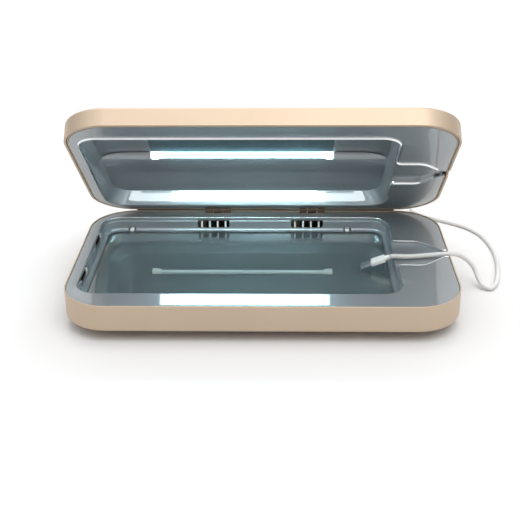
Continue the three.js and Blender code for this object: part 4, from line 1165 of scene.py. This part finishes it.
def nearest_outward(x, y, path, normals, ledge):
    """The outward direction at the nearest rim, and how near it is."""
    here = Vector((x, y))
    distances = [(place - here).length for place in path]
    best = min(range(len(path)), key=distances.__getitem__)
    away, near = normals[best].normalized(), distances[best]
    gap = rect_distance(x, y, ledge)
    if 0 <= gap < near:
        step = 0.01
        slope = Vector((rect_distance(x + step, y, ledge) - gap, rect_distance(x, y + step, ledge) - gap))
        away, near = slope.normalized(), gap
    return away, near


class SANITIZER_OT_lid_lining(bpy.types.Operator):
    """Adds the lid's mirror lining: deck, rolled ceiling, lamp groove, funnel recess and lips"""

    bl_idname = "sanitizer.lid_lining"
    bl_label = "Add lid lining"

    def execute(self, context):
        sizes = context.scene.sanitizer_sizes
        outs = outward(ring_points(LID_CHAMBER, *LID_PARTS), True)
        skin = Skin()
        loops = [backed(ring_points(ring, *LID_PARTS), z, outs, LINING if k else 0.0)
                 for k, (ring, z) in enumerate(lid_rings(sizes.lid_edge / MM))]
        skin.add(skin.strips(loops, True))
        places, faces = skin.solid()
        turned_over = [(x, y, LID_RIM - z) for x, y, z in places]
        lining = add_object("lid_lining", turned_over, [f[::-1] for f in faces])

        lamp = (LID_LAMP_Y, LID_LAMP_Z)
        ceiling, reach = LID_RIM + LID_CEILING, LAMP_HALF + FIT
        groove = add_object("groove", *lamp_room(TROUGH + LINING / 2, LINING / 2, *lamp))
        open_side = block(2 * reach + 8, 12, 6, LAMP_X, LID_LAMP_Y, ceiling - 2.6)
        carved(groove, cuts=open_side)
        carved(lining, joins=mesh_shape(groove))
        bpy.data.objects.remove(groove)
        funnel_top, wall = LID_RIM + 1.6, 0.6
        body = funnel_plan(wall, CHAMBER[1] - wall)
        carved(lining, joins=extruded(body, LID_RIM + wall, funnel_top + 1.0))
        recess = extruded(funnel_plan(-1.1, CHAMBER[1] - 3, WIDTH / 2), LID_RIM - 2, funnel_top)
        hinges = on_hinges(HINGE_ROOM, (-HINGE_HALF, HINGE_HALF))
        carved(lining, cuts=gathered(lamp_room(TROUGH, 0, *lamp), recess, *hinges))
        # The lips are real; their lighter finish is a painted highlight
        lip = add_object("lid_lip", *gathered(*lid_lips(sizes.mouth_radius / MM)), lid_opened())
        dressed(lip, "lid", "lid_chamber_deck", "bright", 30, ())
        lining.data.transform(lid_opened())
        dressed(lining, "lid", "lid_chamber_deck", "mirror", 30)

        # A dark plate without gloss on the ceiling in front of the lamp: a dark sheet put there as painted
        # shade
        depth, thickness, corner = 25.0, 0.9, 0.3
        bed = add_object("lamp_bed", *block(2 * reach, depth, thickness, LAMP_X, LID_LAMP_Y - 8.3,
                                            ceiling + 0.2, corner))
        cap_room = CAP_LENGTH + 0.6
        rooms = [bar(TROUGH, LAMP_X + a, LAMP_X + b, *lamp)
                 for a, b in ((-reach - 1, cap_room - reach), (reach - cap_room, reach + 1))]
        carved(bed, cuts=lamp_room(LAMP_RADIUS + 0.35, 0, *lamp))
        carved(bed, cuts=gathered(*rooms))
        bed.data.transform(lid_opened())
        dressed(bed, "lid", "lid_chamber_deck", "bed", 30, ())
        return {"FINISHED"}


def lid_rings(edge):
    """The lid's lining as a tray that opens upwards: its edge, its walls rolled inwards, its ceiling."""
    # How far in at the ends, how far in at the sides and how deep, where the wall turns into the ceiling
    crease = (0.2, 0.13, 0.81)
    curve = [tuple(c * t for c in crease) for t in (0.25, 0.5, 0.75, 0.92, 0.98, 1.0)]
    curve += [tuple(1 - (1 - c) * (1 - t) ** power for c, power in zip(crease, (1, 1, 2)))
              for t in (0.03, 0.1, 0.2, 0.3, 0.4, 0.5, 0.6, 0.7, 0.8, 0.9, 1.0)]
    left, right, front, rear, radius = LID_CHAMBER
    end_run, side_run = 21, 10.5
    rings = [(LINER_EDGE, 0.0), (inset(LID_CHAMBER, -edge - 0.6), 0.0)]
    rings += [(inset(LID_CHAMBER, -by), -drop) for by, drop in rounded_edge(edge, 6)]
    for end, side, deep in curve:
        down = edge + (LID_CEILING - edge) * deep
        if deep <= crease[2]:
            side = (0.0875 + 0.00427 * down) * down / side_run
        rings.append(((left + end_run * end, right - end_run * end, front + side_run * side,
                       rear - side_run * side, radius), -down))
    return [*rings, (inset(rings[-1][0], 1.0), -LID_CEILING)]


def lid_lips(mouth_radius):
    """Raised lips that drop inside the base's stepped rim when the lid is shut."""
    near, far, bevel, rear, neck = -0.4, -1.75, 0.65, 40, 5.8
    low, foot, high = LID_RIM - 1.0, LID_RIM - 0.1, LID_RIM + 1.45
    section = [(near, high), (far, high), (far, foot), (far + bevel, low), (near - bevel, low), (near, foot)]
    return swept_runs(base_rim_path(mouth_radius), section, lambda place: place.y < rear and (
        place.x < CHAMBER[1] or abs(place.y - FUNNEL_Y) > neck))


def funnel_plan(grow, start_x, end_x=NECK_X - FIT):
    """The funnel's closed outline, grown by grow."""
    rear, fore = funnel_corners(grow, end_x)
    corner = 0.3
    corners = [*rear, (start_x, rear[-1][1], corner), (start_x, fore[0][1], corner), *fore]
    return [tuple(p) for p in rounded_path(corners)]


def mesh_shape(piece):
    """Places and faces of an object's mesh, in millimetres."""
    return [tuple(v.co / MM) for v in piece.data.vertices], [list(f.vertices) for f in piece.data.polygons]


class SANITIZER_OT_lamps(bpy.types.Operator):
    """Adds both lamps with their caps, the covers, the plate and its clips"""

    bl_idname = "sanitizer.lamps"
    bl_label = "Add lamps and plate"

    def execute(self, context):
        add_lamp("base", BASE_LAMP_Y, BASE_LAMP_Z, Matrix.Identity(4), "unlit", "white")
        add_lamp("lid", LID_LAMP_Y, LID_LAMP_Z, lid_opened(), "lamp", "cap")
        for side in SIDES:
            refined(f"lid_lamp_cover_{side}", f"lid_cover_{side}", 0, "lid", "cover", 50)
        ring, bevel = inset(CHAMBER, LEDGE_RUN + 1 + FIT), 0.25
        low, high = PLATE_TOP - PLATE_THICKNESS, PLATE_TOP
        levels = [(inset(ring, bevel), low), (ring, low + bevel), (ring, high - bevel),
                  (inset(ring, bevel), high)]
        dressed(add_object("plate", *loft(levels, 12)), "base", "quartz_plate", "quartz", 30)
        for end in ("rear", "front"):
            for side in SIDES:
                refined(f"plate_clip_{end}_{side}", f"clip_{end}_{side}", 0.12, "base", "white")
        return {"FINISHED"}


def add_lamp(body, y, z, turned, tube_finish, cap_finish):
    """One lamp: a tube with domed ends and a stepped, hollow cap at each end."""
    half, dome, wall = LAMP_HALF - 2.0, 0.8, 0.7
    ends = [(LAMP_RADIUS * (1 - by), dome * drop - half) for by, drop in rounded_edge(1, 5)]
    profile = ends + [(r, -h) for r, h in reversed(ends)]
    tube = add_object(f"{body}_tube", *placed(lathed(profile, 40), moved(LAMP_X, y, z) @ ALONG_X), turned)
    dressed(tube, body, f"{body}_lamp_tube", tube_finish)
    bore = CAP_RADIUS - wall
    outside = [(-0.4, 0), (-0.1, 0.12), (0, 0.4), (0, 3.4), (-0.15, 3.7), (-0.4, 4.3),
               (-0.45, CAP_LENGTH - 0.3)]
    cap = lathed([(0, 0), *((CAP_RADIUS + by, h) for by, h in outside), (bore + 0.1, CAP_LENGTH),
                  (bore, CAP_LENGTH), (bore, 1.9), (0, 1.9)], 40)
    for way, side in zip((-1, 1), SIDES):
        inwards = moved(LAMP_X + way * LAMP_HALF, y, z) @ Matrix.Rotation(-way * TAU / 4, 4, "Y")
        piece = add_object(f"{body}_cap_{side}", *placed(cap, inwards), turned)
        dressed(piece, body, f"{body}_lamp_cap_{side}", cap_finish)


class SANITIZER_OT_grilles(bpy.types.Operator):
    """Adds the ribs that part the rear grilles and the left slots"""

    bl_idname = "sanitizer.grilles"
    bl_label = "Add grille ribs"

    def execute(self, context):
        rear, left = CHAMBER[3] - LEDGE_RUN, CHAMBER[0] + LEDGE_RUN
        depth, corner, edge, count = 1.0, 0.3, 0.2, 4
        half = (GRILLE_HEIGHT - RECESS[1]) / 2
        rib = soft_block(RIB_WIDTH, depth, corner, edge, -half, half, 3)
        places = [(x, rear + 1.0, LEDGE_Z - RECESS[1] - half) for x in GRILLE_XS]
        # The ribs are white: a painted glint that stands for lamp light caught on their mirror faces
        ribs = [repeated(f"grille_ribs_{side}", rib, "white", count, 1, (count - 1) * RIB_PITCH, 0, place)
                for side, place in zip(SIDES, places)]
        half = SLOT_HEIGHT / 2
        rib = soft_block(depth, RIB_WIDTH, corner, edge, -half, half, 3)
        places = [(left - 0.6, y + SLOT_LENGTH / 2 - SLOT_RIB, LEDGE_Z - half) for y in SLOT_YS]
        ribs += [repeated(f"slot_rib_{end}", rib, "white", place=place)
                 for end, place in zip(("rear", "front"), places)]
        for piece in ribs:
            dressed(piece, "base", "base_chamber_deck", "white", replaced=())
        return {"FINISHED"}


class SANITIZER_OT_fittings(bpy.types.Operator):
    """Adds feet, screws, hinges, sockets, the status light and the finishes of what is inside"""

    bl_idname = "sanitizer.fittings"
    bl_label = "Add fittings"

    def execute(self, context):
        dimple, round_over, foot_top = 0.25, 0.9, 0.7
        low = [(FOOT_RADIUS - by, FLOOR_Z + drop) for by, drop in rounded_edge(round_over, 5)]
        foot = lathed([(0, FLOOR_Z + dimple), (3.4, FLOOR_Z + dimple), (3.9, FLOOR_Z), *low,
                       (FOOT_RADIUS, foot_top), (0, foot_top)], 40)
        start, drive, shank, bevel = 1.0, 1.1, 1.4, 0.3
        socket, head, tip = start + 0.8, start + 1.4, start + 7.6
        screw = lathed([(0, socket), (drive, socket), (drive, start), (SCREW_HEAD - bevel, start),
                        (SCREW_HEAD, start + bevel), (SCREW_HEAD, head), (shank, head), (shank, tip - 0.6),
                        (shank - 0.5, tip), (0, tip)], 24)
        for name, kind, shape, finish in (
            ("feet", "foot", foot, "rubber"),
            ("screws", "screw", screw, "steel"),
        ):
            nodes = [f"{kind}_{end}_{side}" for end in ("front", "rear") for side in SIDES]
            piece = repeated(name, shape, finish, 2, 2, 2 * FOOT_X, 2 * FOOT_Y)
            dressed(piece, "base", nodes[0], finish, replaced=nodes)
        for side in SIDES:
            for body in BODIES:
                refined(f"hinge_{body}_leaf_{side}", f"{body}_leaf_{side}", 0.2, body, "bronze", 40)
            refined(f"hinge_pin_{side}", f"pin_{side}", 0.15, "base", "steel", 40)
        for node, name, finish in (
            ("usb_a_socket", "usb_a", "steel"), ("usb_c_socket", "usb_c", "steel"),
            ("power_inlet", "inlet", "black"), ("lamp_transformer", "coil", "black"),
            ("lid_sensor", "sensor", "black"), ("control_board", "board", "board"),
        ):
            refined(node, name, 0.1, "base", finish)
        refined("indicator_lens", "lens", 0.1, "lid", "lens", 40)
        refined("indicator_board", "lens_board", 0.1, "lid", "board", 40)
        for body in BODIES:
            for side in SIDES:
                refined(f"{body}_magnet_{side}", f"{body}_disc_{side}", 0.15, body, "magnet")
        return {"FINISHED"}


class SANITIZER_OT_stage(bpy.types.Operator):
    """Adds the studio: a pale floor, soft light and the light that the lid's lamp casts"""

    bl_idname = "sanitizer.stage"
    bl_label = "Add stage"

    def execute(self, context):
        scene = context.scene
        scene.view_settings.view_transform = "Standard"
        world = bpy.data.worlds.new("studio")
        scene.world = world
        world.use_nodes = True
        tree = world.node_tree
        tree.nodes.clear()
        place = add_node(tree, "ShaderNodeTexCoord").outputs["Generated"]
        up = add_node(tree, "ShaderNodeSeparateXYZ", {"Vector": place}).outputs["Z"]
        shade = add_node(tree, "ShaderNodeMapRange", {
            "Value": up, "From Min": 0.3, "From Max": 0.95, "To Min": 0.42, "To Max": 1.7,
        }).outputs["Result"]
        lit = add_node(tree, "ShaderNodeBackground", {"Color": linear("ffffff"), "Strength": shade})
        add_node(tree, "ShaderNodeOutputWorld", {"Surface": lit.outputs["Background"]})
        far = 4000
        corners = [(x, y, FLOOR_Z) for x, y in ((-far, -far), (far, -far), (far, far), (-far, far))]
        floor = add_object("floor", corners, [[0, 1, 2, 3]])
        paper = bpy.data.materials.new("studio_paper")
        paper.use_nodes = True
        shader = paper.node_tree.nodes["Principled BSDF"]
        shader.inputs["Base Color"].default_value = scene.sanitizer_colours.floor
        shader.inputs["Roughness"].default_value = 0.9
        shader.inputs["Specular IOR Level"].default_value = 0.0
        floor.data.materials.append(paper)
        length, width, power = 178, 3.0, 0.013
        start, aim = (LAMP_X, 3.0, LID_LAMP_Z - 1.0), (LAMP_X, 58.0, LID_RIM + 5.0)
        glow = soft_light("lamp_glow", start, aim, length, power)
        glow.data.shape = "RECTANGLE"
        glow.data.size_y = width * MM
        glow.data.color = scene.sanitizer_colours.lamp[:3]
        glow.matrix_world = lid_opened() @ glow.matrix_basis
        glow.parent = frame["bodies"]["lid"]
        glow.matrix_parent_inverse = frame["bodies"]["lid"].matrix_world.inverted()
        soft_light("overhead", (300, -540, 1040), (0, 0, 40), 800, 4.4)
        soft_light("backdrop", (0, 1500, 2600), (0, 1200, 0), 1600, 24.0)
        return {"FINISHED"}


def soft_light(name, place, aim, side, power):
    """A square area light at one place that shines at another."""
    data = bpy.data.lights.new(name, "AREA")
    data.shape = "SQUARE"
    data.size = side * MM
    data.energy = power
    light = bpy.data.objects.new(name, data)
    bpy.context.scene.collection.objects.link(light)
    light.location = Vector(place) * MM
    light.rotation_euler = (Vector(aim) - Vector(place)).to_track_quat("-Z", "Y").to_euler()
    return light


class SANITIZER_PT_panel(bpy.types.Panel):
    bl_label = "Phone sanitizer box"
    bl_idname = "SANITIZER_PT_panel"
    bl_space_type = "VIEW_3D"
    bl_region_type = "UI"
    bl_category = "Sanitizer"

    def draw(self, context):
        for group in (context.scene.sanitizer_sizes, context.scene.sanitizer_colours):
            for name in group.__annotations__:
                self.layout.prop(group, name)
        for operator in STEPS:
            self.layout.operator(operator.bl_idname)


STEPS = (
    SANITIZER_OT_camera,
    SANITIZER_OT_lead,
    SANITIZER_OT_shells,
    SANITIZER_OT_base_lining,
    SANITIZER_OT_lid_lining,
    SANITIZER_OT_lamps,
    SANITIZER_OT_grilles,
    SANITIZER_OT_fittings,
    SANITIZER_OT_stage,
)
CLASSES = (SanitizerSizes, SanitizerColours, *STEPS, SANITIZER_PT_panel)


def register():
    for item in CLASSES:
        bpy.utils.register_class(item)
    bpy.types.Scene.sanitizer_sizes = bpy.props.PointerProperty(type=SanitizerSizes)
    bpy.types.Scene.sanitizer_colours = bpy.props.PointerProperty(type=SanitizerColours)


def unregister():
    del bpy.types.Scene.sanitizer_colours
    del bpy.types.Scene.sanitizer_sizes
    for item in reversed(CLASSES):
        bpy.utils.unregister_class(item)


def main():
    register()
    for step in STEPS:
        group, name = step.bl_idname.split(".")
        getattr(getattr(bpy.ops, group), name)()


if __name__ == "__main__":
    main()
